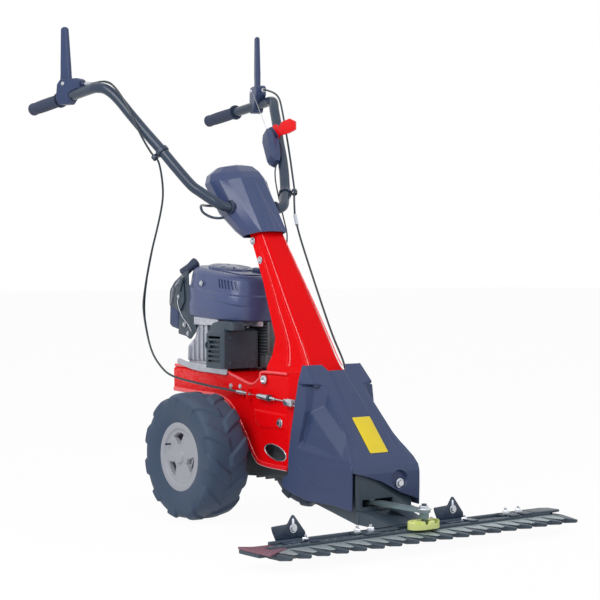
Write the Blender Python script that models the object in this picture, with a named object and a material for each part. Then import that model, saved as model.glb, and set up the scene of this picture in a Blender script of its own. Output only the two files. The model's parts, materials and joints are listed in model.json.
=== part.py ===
"""Motor mower with a front finger bar, as an assembly of separate named pieces.

Metres, +X forward, +Y to the machine's left, +Z up. The machine frame has its origin on the ground
midway between the wheels; one empty carries everything and puts the origin of the world under the
middle of the whole machine's box.
"""
import math

import bmesh
import bpy
import numpy as np
from mathutils import Matrix, Vector

# Gap between neighbouring pieces
GAP = 0.0003

# Machine frame in the world
FRAME_SHIFT = (-0.0423, 0.033, 0.0)

# Wheels: 13 x 5.00-6 tyres on 6 inch rims
WHEEL_R = 0.165
WHEEL_Y = 0.198
TYRE_HALF = 0.0625
BEAD_R = 0.0707
RIM_R = 0.0885
LUGS = 11
LUG_H = 0.0075
AXLE_R = 0.0125

# Finger bar
PITCH = 0.0508
FINGERS = 17
FIRST_FINGER_Y = -0.4647
FINGER_TIP_X = 0.770
BAR_BACK_X = 0.634
BAR_FRONT_X = 0.700
BAR_Z = 0.030
BAR_TOP = 0.038
BAR_END_R = -0.500
BAR_END_L = 0.434
STROKE = 0.0254
KNIFE_Z = BAR_TOP + GAP
KNIFE_HEAD = (0.684, -0.023)
ARM_PIVOT = (0.490, -0.023)
ARM_Z = 0.0842

# Chassis
LINK_Y = -0.1065
SIDE_Y = 0.098
SHEET = 0.003
DECK_Z = 0.386
PULLEY_Z = 0.325

# Engine: the crankshaft stands upright
CRANK = (-0.125, 0.0)
CRANK_PULLEY_R = 0.034
DRIVE_PULLEY = (0.100, 0.0)
DRIVE_PULLEY_R = 0.060

# Mast and handlebar
HEAD = (-0.024, 0.810)
TUBE_R = 0.014
GRIP_R = 0.0175
GRIP_FRONT = (-0.530, 0.2985, 1.1205)
GRIP_END = (-0.686, 0.3030, 1.1050)
LEVERS = ((-1, "right", (-0.486, 0.306, 1.160), 0.158), (1, "left", (-0.424, 0.302, 1.174), 0.162))
LEVER_YAW = math.radians(22)

for leftover in list(bpy.data.objects):
    bpy.data.objects.remove(leftover, do_unlink=True)


# Shared helpers

def make_material(name, colour, roughness, metallic=0.0):
    """One Principled material."""
    mat = bpy.data.materials.new(name)
    mat.use_nodes = True
    shader = mat.node_tree.nodes["Principled BSDF"]
    shader.inputs["Base Color"].default_value = (*colour, 1.0)
    shader.inputs["Roughness"].default_value = roughness
    shader.inputs["Metallic"].default_value = metallic
    mat.diffuse_color = (*colour, 1.0)
    return mat


FINISH = {
    "red": make_material("red_paint", (0.75, 0.01, 0.015), 0.3),
    "black": make_material("black_plastic", (0.035, 0.045, 0.07), 0.45),
    "tube": make_material("black_powder_coat", (0.03, 0.037, 0.06), 0.35),
    "tyre": make_material("tyre_rubber", (0.035, 0.045, 0.065), 0.75),
    "rim": make_material("rim_grey", (0.42, 0.43, 0.46), 0.45),
    "steel": make_material("steel", (0.45, 0.46, 0.48), 0.35, 1.0),
    "dark_steel": make_material("dark_steel", (0.06, 0.07, 0.09), 0.45, 0.6),
    "alu": make_material("cast_aluminium", (0.62, 0.63, 0.66), 0.4, 0.9),
    "head": make_material("knife_head_green", (0.62, 0.66, 0.22), 0.5),
    "knob": make_material("red_knob", (0.8, 0.02, 0.02), 0.35),
    "rubber": make_material("rubber", (0.02, 0.022, 0.028), 0.7),
}


def make_empty(name, location, parent=None):
    """An empty that carries pieces; its location is in the machine frame."""
    empty = bpy.data.objects.new(name, None)
    bpy.context.scene.collection.objects.link(empty)
    empty.location = location
    empty.parent = parent
    return empty


ROOT = make_empty("machine_frame", FRAME_SHIFT)


def link(obj, finish, pivot):
    """Give an object its material, and hang it on the frame or on its joint's empty."""
    bpy.context.scene.collection.objects.link(obj)
    obj.parent = pivot or ROOT
    if finish:
        obj.data.materials.append(FINISH[finish])
    return obj


def pivot_of(pivot):
    return Vector(pivot.location) if pivot else Vector((0, 0, 0))


def make_piece(name, verts, faces, finish, pivot=None, smooth=None):
    """A mesh object from points in the machine frame, its origin on its pivot."""
    mesh = bpy.data.meshes.new(name)
    mesh.from_pydata([Vector(v) - pivot_of(pivot) for v in verts], [], faces)
    bm = bmesh.new()
    bm.from_mesh(mesh)
    bmesh.ops.recalc_face_normals(bm, faces=bm.faces)
    bm.to_mesh(mesh)
    bm.free()
    if smooth:
        mesh.shade_smooth()
        mesh.set_sharp_from_angle(angle=math.radians(smooth))
    return link(bpy.data.objects.new(name, mesh), finish, pivot)


def ring_faces(rings, count, wrap_rings=False, start=0):
    """Quads between neighbouring rings of equal point count."""
    faces = []
    last = rings if wrap_rings else rings - 1
    for i in range(last):
        a = start + i * count
        b = start + ((i + 1) % rings) * count
        for j in range(count):
            k = (j + 1) % count
            faces.append((a + j, a + k, b + k, b + j))
    return faces


def loft(rings):
    """A solid through closed rings, with a flat cap at each end."""
    count = len(rings[0])
    verts = [p for ring in rings for p in ring]
    faces = ring_faces(len(rings), count)
    faces.append(tuple(reversed(range(count))))
    faces.append(tuple(range(len(verts) - count, len(verts))))
    return verts, faces


def shell(outer, inner):
    """A thick-walled tube through closed rings, open at both ends."""
    rings = list(outer) + list(reversed(inner))
    count = len(outer[0])
    verts = [p for ring in rings for p in ring]
    return verts, ring_faces(len(rings), count, wrap_rings=True)


def cup(outer, inner):
    """A thick-walled cup: open at the first ring, closed at the last."""
    count = len(outer[0])
    rings = list(reversed(inner)) + list(outer)
    verts = [p for ring in rings for p in ring]
    faces = ring_faces(len(rings), count)
    faces.append(tuple(reversed(range(count))))
    faces.append(tuple(range(len(verts) - count, len(verts))))
    return verts, faces


def prism(outline, low, high, axis):
    """An outline pushed along an axis. Outline pairs are the other two axes in X, Y, Z order."""
    def point(pair, level):
        coords = list(pair)
        coords.insert("xyz".index(axis), level)
        return tuple(coords)
    return loft([[point(p, low) for p in outline], [point(p, high) for p in outline]])


def box(x0, x1, y0, y1, z0, z1):
    return prism([(x0, y0), (x1, y0), (x1, y1), (x0, y1)], z0, z1, "z")


def arc_points(cx, cy, radius, start, end, steps):
    """Points on an arc in a plane, angles in degrees."""
    angles = np.radians(np.linspace(start, end, steps + 1))
    return [(cx + radius * math.cos(a), cy + radius * math.sin(a)) for a in angles]


def ellipse_points(cx, cy, rx, ry, steps, tilt=0.0):
    angles = np.linspace(0, 2 * math.pi, steps, endpoint=False)
    c, s = math.cos(tilt), math.sin(tilt)
    return [(cx + rx * math.cos(a) * c - ry * math.sin(a) * s,
             cy + rx * math.cos(a) * s + ry * math.sin(a) * c) for a in angles]


def revolve(profile, steps, centre, axis, phase=0.0):
    """Turn a closed (radius, height) profile about an axis through centre.

    A profile that starts and ends on the axis gives a solid; one that stays off it gives a ring.
    """
    on_axis = profile[0][0] == 0.0
    inner = profile[1:-1] if on_axis else profile
    angles = phase + np.linspace(0, 2 * math.pi, steps, endpoint=False)

    def point(r, h, a):
        u, v = r * math.cos(a), r * math.sin(a)
        local = {"x": (h, u, v), "y": (v, h, u), "z": (u, v, h)}[axis]
        return tuple(c + d for c, d in zip(centre, local))

    verts = [point(r, h, a) for r, h in inner for a in angles]
    faces = ring_faces(len(inner), steps, wrap_rings=not on_axis)
    if on_axis:
        for height, ring in ((profile[0][1], 0), (profile[-1][1], len(inner) - 1)):
            pole = len(verts)
            verts.append(point(0.0, height, 0.0))
            for j in range(steps):
                faces.append((pole, ring * steps + j, ring * steps + (j + 1) % steps))
    return verts, faces


def rod(start, end, radius, sides=12, radius_end=None):
    """A round bar between two points, tapered if radius_end is given."""
    a, b = Vector(start), Vector(end)
    across = (b - a).normalized().orthogonal().normalized()
    turn = (b - a).normalized()
    rings = []
    for centre, r in ((a, radius), (b, radius if radius_end is None else radius_end)):
        rings.append([tuple(centre + Matrix.Rotation(2 * math.pi * k / sides, 3, turn) @ (across * r))
                      for k in range(sides)])
    return loft(rings)


def smooth_path(points, steps):
    """A Catmull-Rom curve through a route's own points, read at equal parameter steps."""
    pts = [Vector(p) for p in points]
    pts = [2 * pts[0] - pts[1]] + pts + [2 * pts[-1] - pts[-2]]
    spans = len(pts) - 3
    out = []
    for k in range(steps + 1):
        t = spans * k / steps
        i = min(int(t), spans - 1)
        f = t - i
        p0, p1, p2, p3 = pts[i:i + 4]
        out.append(0.5 * (2 * p1 + (p2 - p0) * f + (2 * p0 - 5 * p1 + 4 * p2 - p3) * f ** 2
                          + (3 * p1 - p0 - 3 * p2 + p3) * f ** 3))
    return out


def path_rings(path, radius, sides):
    """Rings square to a path, turned along it without twist."""
    tangents = [(path[min(i + 1, len(path) - 1)] - path[max(i - 1, 0)]).normalized()
                for i in range(len(path))]
    side = tangents[0].orthogonal().normalized()
    rings = []
    for point, tangent in zip(path, tangents):
        side = (side - tangent * side.dot(tangent)).normalized()
        rings.append([tuple(point + Matrix.Rotation(2 * math.pi * k / sides, 3, tangent) @ (side * radius))
                      for k in range(sides)])
    return rings


def make_cable(name, route, steps, radius, finish, pivot=None):
    """A round cable along a smooth route: a poly curve with a bevel and filled ends."""
    path = smooth_path(route, steps)
    curve = bpy.data.curves.new(name, "CURVE")
    curve.dimensions = "3D"
    curve.bevel_depth = radius
    curve.bevel_resolution = 2
    curve.use_fill_caps = True
    spline = curve.splines.new("POLY")
    spline.points.add(len(path) - 1)
    for point, place in zip(spline.points, path):
        point.co = (*(place - pivot_of(pivot)), 1.0)
    spline.use_smooth = True
    print(name, "length", round(sum((b - a).length for a, b in zip(path, path[1:])), 3))
    return link(bpy.data.objects.new(name, curve), finish, pivot)


def boolean(obj, shapes, operation="DIFFERENCE"):
    """Cut shapes out of an object, or join them to it, with hidden tool objects."""
    for number, (verts, faces) in enumerate(shapes):
        name = f"{obj.name}_tool_{operation.lower()}_{len(obj.modifiers)}_{number}"
        mesh = bpy.data.meshes.new(name)
        origin = pivot_of(obj.parent if obj.parent is not ROOT else None)
        mesh.from_pydata([Vector(v) - origin for v in verts], [], faces)
        bm = bmesh.new()
        bm.from_mesh(mesh)
        bmesh.ops.recalc_face_normals(bm, faces=bm.faces)
        bm.to_mesh(mesh)
        bm.free()
        tool = bpy.data.objects.new(name, mesh)
        bpy.context.scene.collection.objects.link(tool)
        tool.parent = obj.parent
        tool.hide_render = True
        tool.display_type = "WIRE"
        modifier = obj.modifiers.new(operation.lower(), "BOOLEAN")
        modifier.operation = operation
        modifier.solver = "EXACT"
        modifier.object = tool
    return obj


def bevel(obj, width, segments=1, angle=40):
    """Break the sharp edges of a piece."""
    modifier = obj.modifiers.new("edge_break", "BEVEL")
    modifier.width = width
    modifier.segments = segments
    modifier.limit_method = "ANGLE"
    modifier.angle_limit = math.radians(angle)
    return obj


def hex_nut(x, y, z, across, height):
    """A hexagon nut or bolt head standing on a level face."""
    return prism([(x + across / 2 * math.cos(math.radians(60 * k)),
                   y + across / 2 * math.sin(math.radians(60 * k))) for k in range(6)], z, z + height, "z")


def stud(x, y, z, height):
    """A stud with its nut on a level face."""
    return [hex_nut(x, y, z - 0.001, 0.015, 0.008), rod((x, y, z + 0.005), (x, y, z + height), 0.004, 8)]


# Wheels

def tyre_mesh(side):
    """A tyre as an open ring: side walls, tread and staggered bar lugs on the two halves."""
    lug_outer = [(0.0600, WHEEL_R - 0.0080), (0.0520, WHEEL_R - 0.0005), (0.0070, WHEEL_R)]
    gap_outer = [(0.0565, WHEEL_R - 0.0150), (0.0490, WHEEL_R - LUG_H - 0.0005), (0.0070, WHEEL_R - LUG_H)]
    wall = [(0.0440, BEAD_R), (0.0470, 0.0890), (0.0625, 0.1200)]
    lining = [(0.0370, BEAD_R), (0.0450, 0.1420)]
    columns = []
    for k in range(LUGS):
        for part, right_is_lug in ((0.0, True), (0.44, True), (0.5, False), (0.94, False)):
            right = wall + (lug_outer if right_is_lug else gap_outer)
            left = wall + (gap_outer if right_is_lug else lug_outer)
            ring = right + [(-w, r) for w, r in reversed(left)]
            ring += [(-w, r) for w, r in lining] + [(w, r) for w, r in reversed(lining)]
            columns.append(((k + part) / LUGS * 2 * math.pi, ring))
    skew = 2 * math.pi / LUGS * 0.45
    verts = []
    for angle, ring in columns:
        for w, r in ring:
            lean = skew * min(abs(w) / 0.055, 1.0) if r > 0.134 else 0.0
            a = angle + lean - math.pi / 2
            verts.append((r * math.cos(a), side * (WHEEL_Y + w), WHEEL_R + r * math.sin(a)))
    return verts, ring_faces(len(columns), len(columns[0][1]), wrap_rings=True)


def rim_mesh(side):
    """A pressed rim: cap, dished disc, flanges and barrel, turned about the axle."""
    profile = [(0.0, 0.0535), (0.0150, 0.0535), (0.0180, 0.0505), (0.0190, 0.0465), (0.0600, 0.0450),
               (0.0740, 0.0500), (0.0870, 0.0510), (RIM_R, 0.0495), (RIM_R, 0.0480), (0.0690, 0.0478),
               (0.0690, -0.0478), (RIM_R, -0.0480), (RIM_R, -0.0505), (0.0650, -0.0500), (0.0650, 0.0385),
               (0.0, 0.0385)]
    return revolve([(r, side * (WHEEL_Y + w)) for r, w in profile], 20, (0, 0, WHEEL_R), "y")


def rim_window(side, turn):
    """One window of the rim's disc: wide at the rim, narrow at the hub."""
    shape = [(0.0300, -14), (0.0590, -25), (0.0640, 0), (0.0590, 25), (0.0300, 14)]
    outline = []
    for r, degrees in shape:
        a = math.radians(degrees) + turn
        outline.append((r * math.cos(a), WHEEL_R + r * math.sin(a)))
    low, high = sorted((side * (WHEEL_Y + 0.030), side * (WHEEL_Y + 0.060)))
    return prism(outline, low, high, "y")


def build_wheels():
    for side, label in ((-1, "right"), (1, "left")):
        pivot = make_empty(f"wheel_{label}_axis", (0, side * WHEEL_Y, WHEEL_R), ROOT)
        make_piece(f"tyre_{label}", *tyre_mesh(side), "tyre", pivot, smooth=35)
        rim = make_piece(f"rim_{label}", *rim_mesh(side), "rim", pivot, smooth=35)
        turns = [math.radians(100 + 120 * k) for k in range(3)]
        boolean(rim, [rim_window(side, t) for t in turns])
        inner, outer = AXLE_R + 0.0008, 0.0205
        hub = [(inner, 0.1500), (outer, 0.1500), (outer, 0.2290), (0.0440, 0.2300), (0.0440, 0.2362),
               (inner, 0.2362)]
        make_piece(f"hub_{label}", *revolve([(r, side * y) for r, y in hub], 14, (0, 0, WHEEL_R), "y"),
                   "steel", pivot, smooth=35)


def build_axle():
    pivot = make_empty("axle_line", (0, 0, WHEEL_R), ROOT)
    shaft = [(0.0, -0.2345), (AXLE_R, -0.2345), (AXLE_R, 0.2345), (0.0, 0.2345)]
    make_piece("axle_shaft", *revolve(shaft, 16, (0, 0, WHEEL_R), "y"), "steel", pivot, smooth=35)


# Chassis, gearbox and belt drive

def rounded(outline, radius, steps=2):
    """Round the corners of a closed outline with short arcs of the same cut-back."""
    out = []
    n = len(outline)
    for i in range(n):
        before, here, after = (Vector(outline[(i + k) % n]) for k in (-1, 0, 1))
        start = here + (before - here).normalized() * min(radius, (before - here).length * 0.45)
        end = here + (after - here).normalized() * min(radius, (after - here).length * 0.45)
        for k in range(steps + 1):
            t = k / steps
            point = start * (1 - t) ** 2 + here * 2 * t * (1 - t) + end * t ** 2
            out.append((point.x, point.y))
    return out


def chassis_block(name, inset, low):
    """The chassis as a hidden solid: side profile, plan and cross section, each shrunk by an inset."""
    top = DECK_Z - inset
    profile = [(-0.258 + inset, 0.318 - low), (-0.260 + inset, top - 0.012), (-0.250 + inset, top),
               (-0.035, top), (0.020, top - 0.012), (0.104, 0.353 - inset), (0.126, 0.358 - inset),
               (0.156, top), (0.322 - inset, top), (0.322 - inset, 0.146 - low), (0.158, 0.150 - low),
               (0.122, 0.166 - low), (0.074, 0.228 - low), (0.020, 0.288 - low), (-0.040, 0.310 - low)]
    side = SIDE_Y - inset
    plan = [(-0.262, -side), (0.265, -side), (0.330, -side + 0.024), (0.330, side - 0.024), (0.265, side),
            (-0.262, side)]
    edge = 0.012
    section = [(-side, 0.0), (side, 0.0), (side, DECK_Z - inset - edge),
               (side - 0.0035, DECK_Z - inset - 0.0035),
               (side - edge, DECK_Z - inset), (-side + edge, DECK_Z - inset),
               (-side + 0.0035, DECK_Z - inset - 0.0035), (-side, DECK_Z - inset - edge)]
    block = make_piece(name, *prism(profile, -SIDE_Y, SIDE_Y, "y"), "red")
    boolean(block, [prism(plan, 0.0, 0.5, "z"), prism(section, -0.3, 0.4, "x")], "INTERSECT")
    return block


def build_chassis():
    """A pressed box, open below: deck, two sides with the photo's lower line, front and rear walls."""
    chassis = chassis_block("chassis_shell", 0.0, 0.0)
    inside = chassis_block("chassis_inside_tool", SHEET, 0.016)
    inside.hide_render = True
    inside.display_type = "WIRE"
    hollow = chassis.modifiers.new("hollow", "BOOLEAN")
    hollow.operation = "DIFFERENCE"
    hollow.solver = "EXACT"
    hollow.object = inside
    tools = [prism(ellipse_points(0.222, 0.208, 0.042, 0.021, 16, math.radians(-14)), -0.13, 0.13, "y"),
             rod((CRANK[0], 0, 0.37), (CRANK[0], 0, 0.40), 0.030, 20),
             rod((0.168, -0.13, 0.366), (0.168, 0.13, 0.366), 0.0063, 12)]
    boolean(chassis, tools)
    extras = []
    for side in (-1, 1):
        wide = [(0.120, 0.292), (0.262, 0.286), (0.262, 0.242), (0.150, 0.240), (0.124, 0.252)]
        tight = [(0.128, 0.284), (0.254, 0.279), (0.254, 0.249), (0.153, 0.247), (0.132, 0.256)]
        extras.append(loft([[(x, side * (SIDE_Y - 0.001), z) for x, z in wide],
                            [(x, side * (SIDE_Y + 0.0035), z) for x, z in tight]]))
    extras.append(box(0.1080, 0.1120, -0.1150, -SIDE_Y + 0.001, 0.314, 0.340))
    boolean(chassis, extras, "UNION")
    boolean(chassis, [rod((0.10, LINK_Y, 0.3265), (0.12, LINK_Y, 0.3265), 0.0042, 12)])
    bolt = revolve([(0.0, -0.107), (0.0090, -0.106), (0.0110, -0.102), (0.0110, -SIDE_Y - GAP),
                    (0.0060, -SIDE_Y - GAP), (0.0060, SIDE_Y + GAP), (0.0110, SIDE_Y + GAP),
                    (0.0110, 0.102), (0.0090, 0.106), (0.0, 0.107)], 10, (0.168, 0, 0.366), "y")
    make_piece("chassis_bolt", *bolt, "steel", None, smooth=35)


def build_gearbox():
    """A cast housing round the axle and under the driven pulley, with ribs on its underside."""
    profile = rounded([(-0.050, 0.120), (0.040, 0.108), (0.290, 0.128), (0.300, 0.170), (0.290, 0.280),
                       (0.060, 0.286), (-0.020, 0.222), (-0.050, 0.200)], 0.02, 2)
    housing = make_piece("gearbox_housing", *prism(profile, -0.070, 0.070, "y"), "alu")
    tubes = []
    for side in (-1, 1):
        ring = [(0.0, 0.060), (0.0300, 0.060), (0.0280, 0.0760), (0.0200, 0.0800), (0.0200, 0.1450),
                (0.0, 0.1450)]
        tubes.append(revolve([(r, side * y) for r, y in ring], 14, (0, 0, WHEEL_R), "y"))
    ribs = [box(0.075 + 0.040 * k, 0.081 + 0.040 * k, -0.060, 0.060, 0.105, 0.140) for k in range(5)]
    boolean(housing, tubes + ribs, "UNION")
    bore = rod((0, -0.16, WHEEL_R), (0, 0.16, WHEEL_R), AXLE_R + 0.0005, 16)
    pocket = rod((DRIVE_PULLEY[0], 0, 0.262), (DRIVE_PULLEY[0], 0, 0.31), 0.0106, 12)
    boolean(housing, [bore, pocket])


def pulley_profile(radius, bore, half=0.009):
    """A V-belt pulley's profile about its shaft, heights measured from its middle."""
    return [(bore, -half - 0.004), (radius * 0.55, -half - 0.004), (radius * 0.55, -half), (radius, -half),
            (radius, -half + 0.002), (radius - 0.010, -0.003), (radius - 0.010, 0.003), (radius,
                                                                                         half - 0.002),
            (radius, half), (radius * 0.55, half), (radius * 0.55, half + 0.004), (bore, half + 0.004)]


def belt_outline(ra, rb, distance, steps=9):
    """A loop round two circles on the X axis, ra at the origin and rb at the distance."""
    lean = math.degrees(math.asin((rb - ra) / distance))
    front = arc_points(distance, 0, rb, -90 - lean, 90 + lean, steps)
    back = arc_points(0, 0, ra, 90 + lean, 270 - lean, steps)
    return front + back


def build_drive():
    crank_axis = make_empty("crank_axis", (*CRANK, PULLEY_Z), ROOT)
    driven_axis = make_empty("drive_pulley_axis", (*DRIVE_PULLEY, PULLEY_Z), ROOT)
    spindle = [(0.0, 0.3050), (0.0110, 0.3050), (0.0125, 0.3080), (0.0125, 0.5540), (0.0100, 0.5700),
               (0.0, 0.5700)]
    make_piece("crankshaft", *revolve(spindle, 16, (*CRANK, 0), "z"), "steel", crank_axis, smooth=35)
    make_piece("crank_pulley", *revolve(pulley_profile(CRANK_PULLEY_R, 0.0130), 14,
                                        (*CRANK, PULLEY_Z), "z"), "steel", crank_axis, smooth=35)
    wheel = [(0.0125 + GAP, 0.5350), (0.0300, 0.5300), (0.0850, 0.5400), (0.0850, 0.5560),
             (0.0300, 0.5440), (0.0125 + GAP, 0.5500)]
    fan = make_piece("flywheel", *revolve(wheel, 20, (*CRANK, 0), "z"), "alu", crank_axis, smooth=35)
    blades = []
    for k in range(8):
        a = 2 * math.pi * k / 8
        c, s = math.cos(a), math.sin(a)
        blade = [(0.045, -0.0015), (0.080, 0.0085), (0.080, 0.0115), (0.045, 0.0015)]
        turned = [(CRANK[0] + x * c - y * s, CRANK[1] + x * s + y * c) for x, y in blade]
        blades.append(prism(turned, 0.5460, 0.5750, "z"))
    boolean(fan, blades, "UNION")
    groove = [(r, h + PULLEY_Z) for r, h in pulley_profile(DRIVE_PULLEY_R, 0.0100)]
    groove = [(0.0, 0.2650), (0.0100, 0.2650)] + groove + [(0.0, PULLEY_Z + 0.013)]
    make_piece("drive_pulley", *revolve(groove, 18, (*DRIVE_PULLEY, 0), "z"), "steel", driven_axis,
               smooth=35)
    distance = DRIVE_PULLEY[0] - CRANK[0]
    belt_top = [(x + CRANK[0], y) for x, y in
                belt_outline(CRANK_PULLEY_R + 0.0015, DRIVE_PULLEY_R + 0.0015, distance)]
    belt_in = [(x + CRANK[0], y) for x, y in
               belt_outline(CRANK_PULLEY_R - 0.0050, DRIVE_PULLEY_R - 0.0050, distance)]
    rings = [[(x, y, PULLEY_Z + h) for x, y in line] for line, h in
             ((belt_top, -0.0052), (belt_top, 0.0052), (belt_in, 0.0022), (belt_in, -0.0022))]
    verts = [p for ring in rings for p in ring]
    make_piece("drive_belt", verts, ring_faces(4, len(belt_top), wrap_rings=True), "rubber", None,
               smooth=35)
    idler_axis = make_empty("idler_axis", (0.010, 0.082, PULLEY_Z), ROOT)
    arm = make_piece("idler_arm", *prism(rounded([(-0.004, 0.068), (0.048, 0.062), (0.050, 0.086),
                                                  (-0.002, 0.094)], 0.012, 1), 0.3400, 0.3440, "z"),
                     "steel", idler_axis)
    boolean(arm, [rod((0.010, 0.082, 0.3420), (0.010, 0.082, 0.3600), 0.0060, 12)], "UNION")
    idler = [(0.0, PULLEY_Z - 0.009), (0.0130, PULLEY_Z - 0.009), (0.0130, PULLEY_Z + 0.009),
             (0.0050, PULLEY_Z + 0.009), (0.0050, PULLEY_Z + 0.0147), (0.0, PULLEY_Z + 0.0147)]
    make_piece("idler_pulley", *revolve(idler, 16, (0.036, 0.0735, 0), "z"), "steel", idler_axis, smooth=35)


# Mast, hood and the handlebar's head

def mast_section(front, rear, half_front, half_rear, groove):
    """A mast ring at one height: flat front, ridge, grooved side, flat rear."""
    (fx, fz), (rx, rz) = front, rear
    def side_point(t, half, inset=0.0):
        return (fx + (rx - fx) * t, half - inset, fz + (rz - fz) * t)
    half = [side_point(0.0, half_front - 0.010), side_point(0.10, half_front),
            side_point(0.40, half_front + (half_rear - half_front) * 0.4),
            side_point(0.52, half_front + (half_rear - half_front) * 0.52, groove),
            side_point(0.64, half_front + (half_rear - half_front) * 0.64),
            side_point(1.0, half_rear)]
    return half + [(x, -y, z) for x, y, z in reversed(half)]


def shrink(ring, wall):
    """The same ring, moved in by a wall thickness in X and Y."""
    cx = sum(p[0] for p in ring) / len(ring)
    hx = max(abs(p[0] - cx) for p in ring)
    hy = max(abs(p[1]) for p in ring)
    return [(cx + (p[0] - cx) * (hx - wall) / hx, p[1] * (hy - wall) / hy, p[2]) for p in ring]


def build_mast():
    base = DECK_Z + GAP
    stations = [((0.302, base), (0.160, base), 0.062, 0.090, 0.0005),
                ((0.293, 0.402), (0.154, 0.402), 0.054, 0.082, 0.002),
                ((0.278, 0.425), (0.158, 0.428), 0.051, 0.069, 0.004),
                ((0.249, 0.470), (0.160, 0.470), 0.049, 0.061, 0.005),
                ((0.195, 0.549), (0.122, 0.549), 0.046, 0.055, 0.003),
                ((0.152, 0.612), (0.091, 0.612), 0.042, 0.049, 0.0003),
                ((0.066, 0.738), (0.022, 0.730), 0.034, 0.040, 0.0003),
                ((0.044, 0.771), (0.000, 0.765), 0.032, 0.037, 0.0003)]
    outer = [mast_section(*s) for s in stations]
    inner = [shrink(ring, SHEET) for ring in outer]
    make_piece("mast", *shell(outer, inner), "red", None, smooth=20)
    head_profile = [(0.000, 0.7662), (0.042, 0.7714), (0.036, 0.7900), (-0.004, 0.8330), (-0.034, 0.8340),
                    (-0.048, 0.8180), (-0.046, 0.7980), (-0.010, 0.7690)]
    head = make_piece("handle_head", *prism(head_profile, -0.036, 0.036, "y"), "dark_steel")
    hollow = [(-0.100, 0.7910), (0.060, 0.7910), (0.060, 0.8500), (-0.100, 0.8500)]
    bore = rod((HEAD[0], -0.06, HEAD[1]), (HEAD[0], 0.06, HEAD[1]), TUBE_R + GAP, 20)
    boolean(head, [prism(hollow, -0.029, 0.029, "y"), bore])


def hood_ring(front, rear, w_front, w_mid, w_rear):
    """A hood ring: front facet, side chamfer, side, rear chamfer."""
    (fx, fz), (rx, rz) = front, rear
    half = [(fx, w_front, fz),
            (fx + (rx - fx) * 0.22, (w_front + w_mid) / 2 + 0.004, fz + (rz - fz) * 0.22),
            (fx + (rx - fx) * 0.48, w_mid, fz + (rz - fz) * 0.48),
            (fx + (rx - fx) * 0.80, (w_rear + w_mid) / 2 + 0.006, fz + (rz - fz) * 0.80),
            (rx, w_rear, rz)]
    return half + [(x, -y, z) for x, y, z in reversed(half)]


def build_hood():
    stations = [((0.076, 0.744), (-0.026, 0.716), 0.040, 0.058, 0.044),
                ((0.022, 0.822), (-0.100, 0.792), 0.044, 0.088, 0.066),
                ((-0.020, 0.884), (-0.150, 0.862), 0.042, 0.098, 0.074),
                ((-0.052, 0.914), (-0.156, 0.898), 0.034, 0.080, 0.054),
                ((-0.082, 0.928), (-0.136, 0.922), 0.020, 0.046, 0.028)]
    outer = [hood_ring(*s) for s in stations]
    inner = [shrink(ring, SHEET) for ring in outer[:-1]]
    inner.append([(x, y, z - 0.004) for x, y, z in shrink(outer[-1], SHEET)])
    inner[-2] = [(x, y, z - 0.003) for x, y, z in inner[-2]]
    hood = make_piece("hood", *cup(outer, inner), "black", None, smooth=15)
    boolean(hood, [rod((HEAD[0], -0.15, HEAD[1]), (HEAD[0], 0.15, HEAD[1]), TUBE_R + 0.0015, 20)])


def build_bail():
    pivot = make_empty("bail_axis", (-0.030, 0, 0.783), ROOT)
    route = [(-0.030, -0.0870, 0.783), (-0.040, -0.1010, 0.781), (-0.060, -0.1120, 0.785),
             (-0.085, -0.1180, 0.797), (-0.105, -0.1120, 0.812), (-0.130, -0.0900, 0.818),
             (-0.150, -0.0600, 0.818)]
    mirrored = [(x, -y, z) for x, y, z in reversed(route)]
    make_cable("tilt_bail", route + [(-0.156, 0.0, 0.818)] + mirrored, 20, 0.003, "tube", pivot)


# Handlebar

def tube_route(side):
    """The measured centre line of one handlebar tube, from the mast's head to the grip."""
    points = [(HEAD[0], 0.0015, HEAD[1]), (HEAD[0], 0.050, HEAD[1]), (HEAD[0], 0.084, HEAD[1]),
              (-0.030, 0.105, 0.818), (-0.048, 0.122, 0.833), (-0.067, 0.139, 0.850), (-0.087, 0.154,
                                                                                       0.868),
              (-0.124, 0.178, 0.915), (-0.160, 0.198, 0.960), (-0.208, 0.222, 1.014), (-0.244, 0.242,
                                                                                       1.058),
              (-0.284, 0.262, 1.106), (-0.312, 0.279, 1.131), (-0.342, 0.2900, 1.1378), (-0.370, 0.2941,
                                                                                         1.1365),
              (-0.450, 0.2963, 1.1285)]
    return [Vector((x, side * y, z)) for x, y, z in points]


def build_handlebar(pivot):
    for side, label in ((-1, "right"), (1, "left")):
        front = Vector((GRIP_FRONT[0], side * GRIP_FRONT[1], GRIP_FRONT[2]))
        back = Vector((GRIP_END[0], side * GRIP_END[1], GRIP_END[2]))
        line = (back - front).normalized()
        length = (back - front).length
        route = tube_route(side) + [front, front + line * (length - 0.013)]
        bent = smooth_path(route, 22)
        verts, faces = shell(path_rings(bent, TUBE_R, 8), path_rings(bent, TUBE_R - 0.0022, 8))
        make_piece(f"handle_tube_{label}", verts, faces, "tube", pivot, smooth=50)
        across = Vector((0, 1, 0)) - line * line.y
        across.normalize()
        up = line.cross(across).normalized()
        bore = TUBE_R + 0.0010
        profile = [(0.0, 0.0220), (0.0070, 0.0220), (0.0100, 0.0180), (0.0400, 0.0165), (0.1000, 0.0180),
                   (length - 0.004, GRIP_R), (length, 0.0140)]
        inside = [(length - 0.0120, bore), (0.0, bore)]
        rings = []
        for along, radius in profile + inside:
            centre = front + line * along
            rings.append([tuple(centre + (across * math.cos(a) + up * math.sin(a)) * radius)
                          for a in np.linspace(0, 2 * math.pi, 12, endpoint=False)])
        make_piece(f"grip_{label}", *cup(rings[:7], list(reversed(rings[7:]))), "rubber", pivot, smooth=40)


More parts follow.
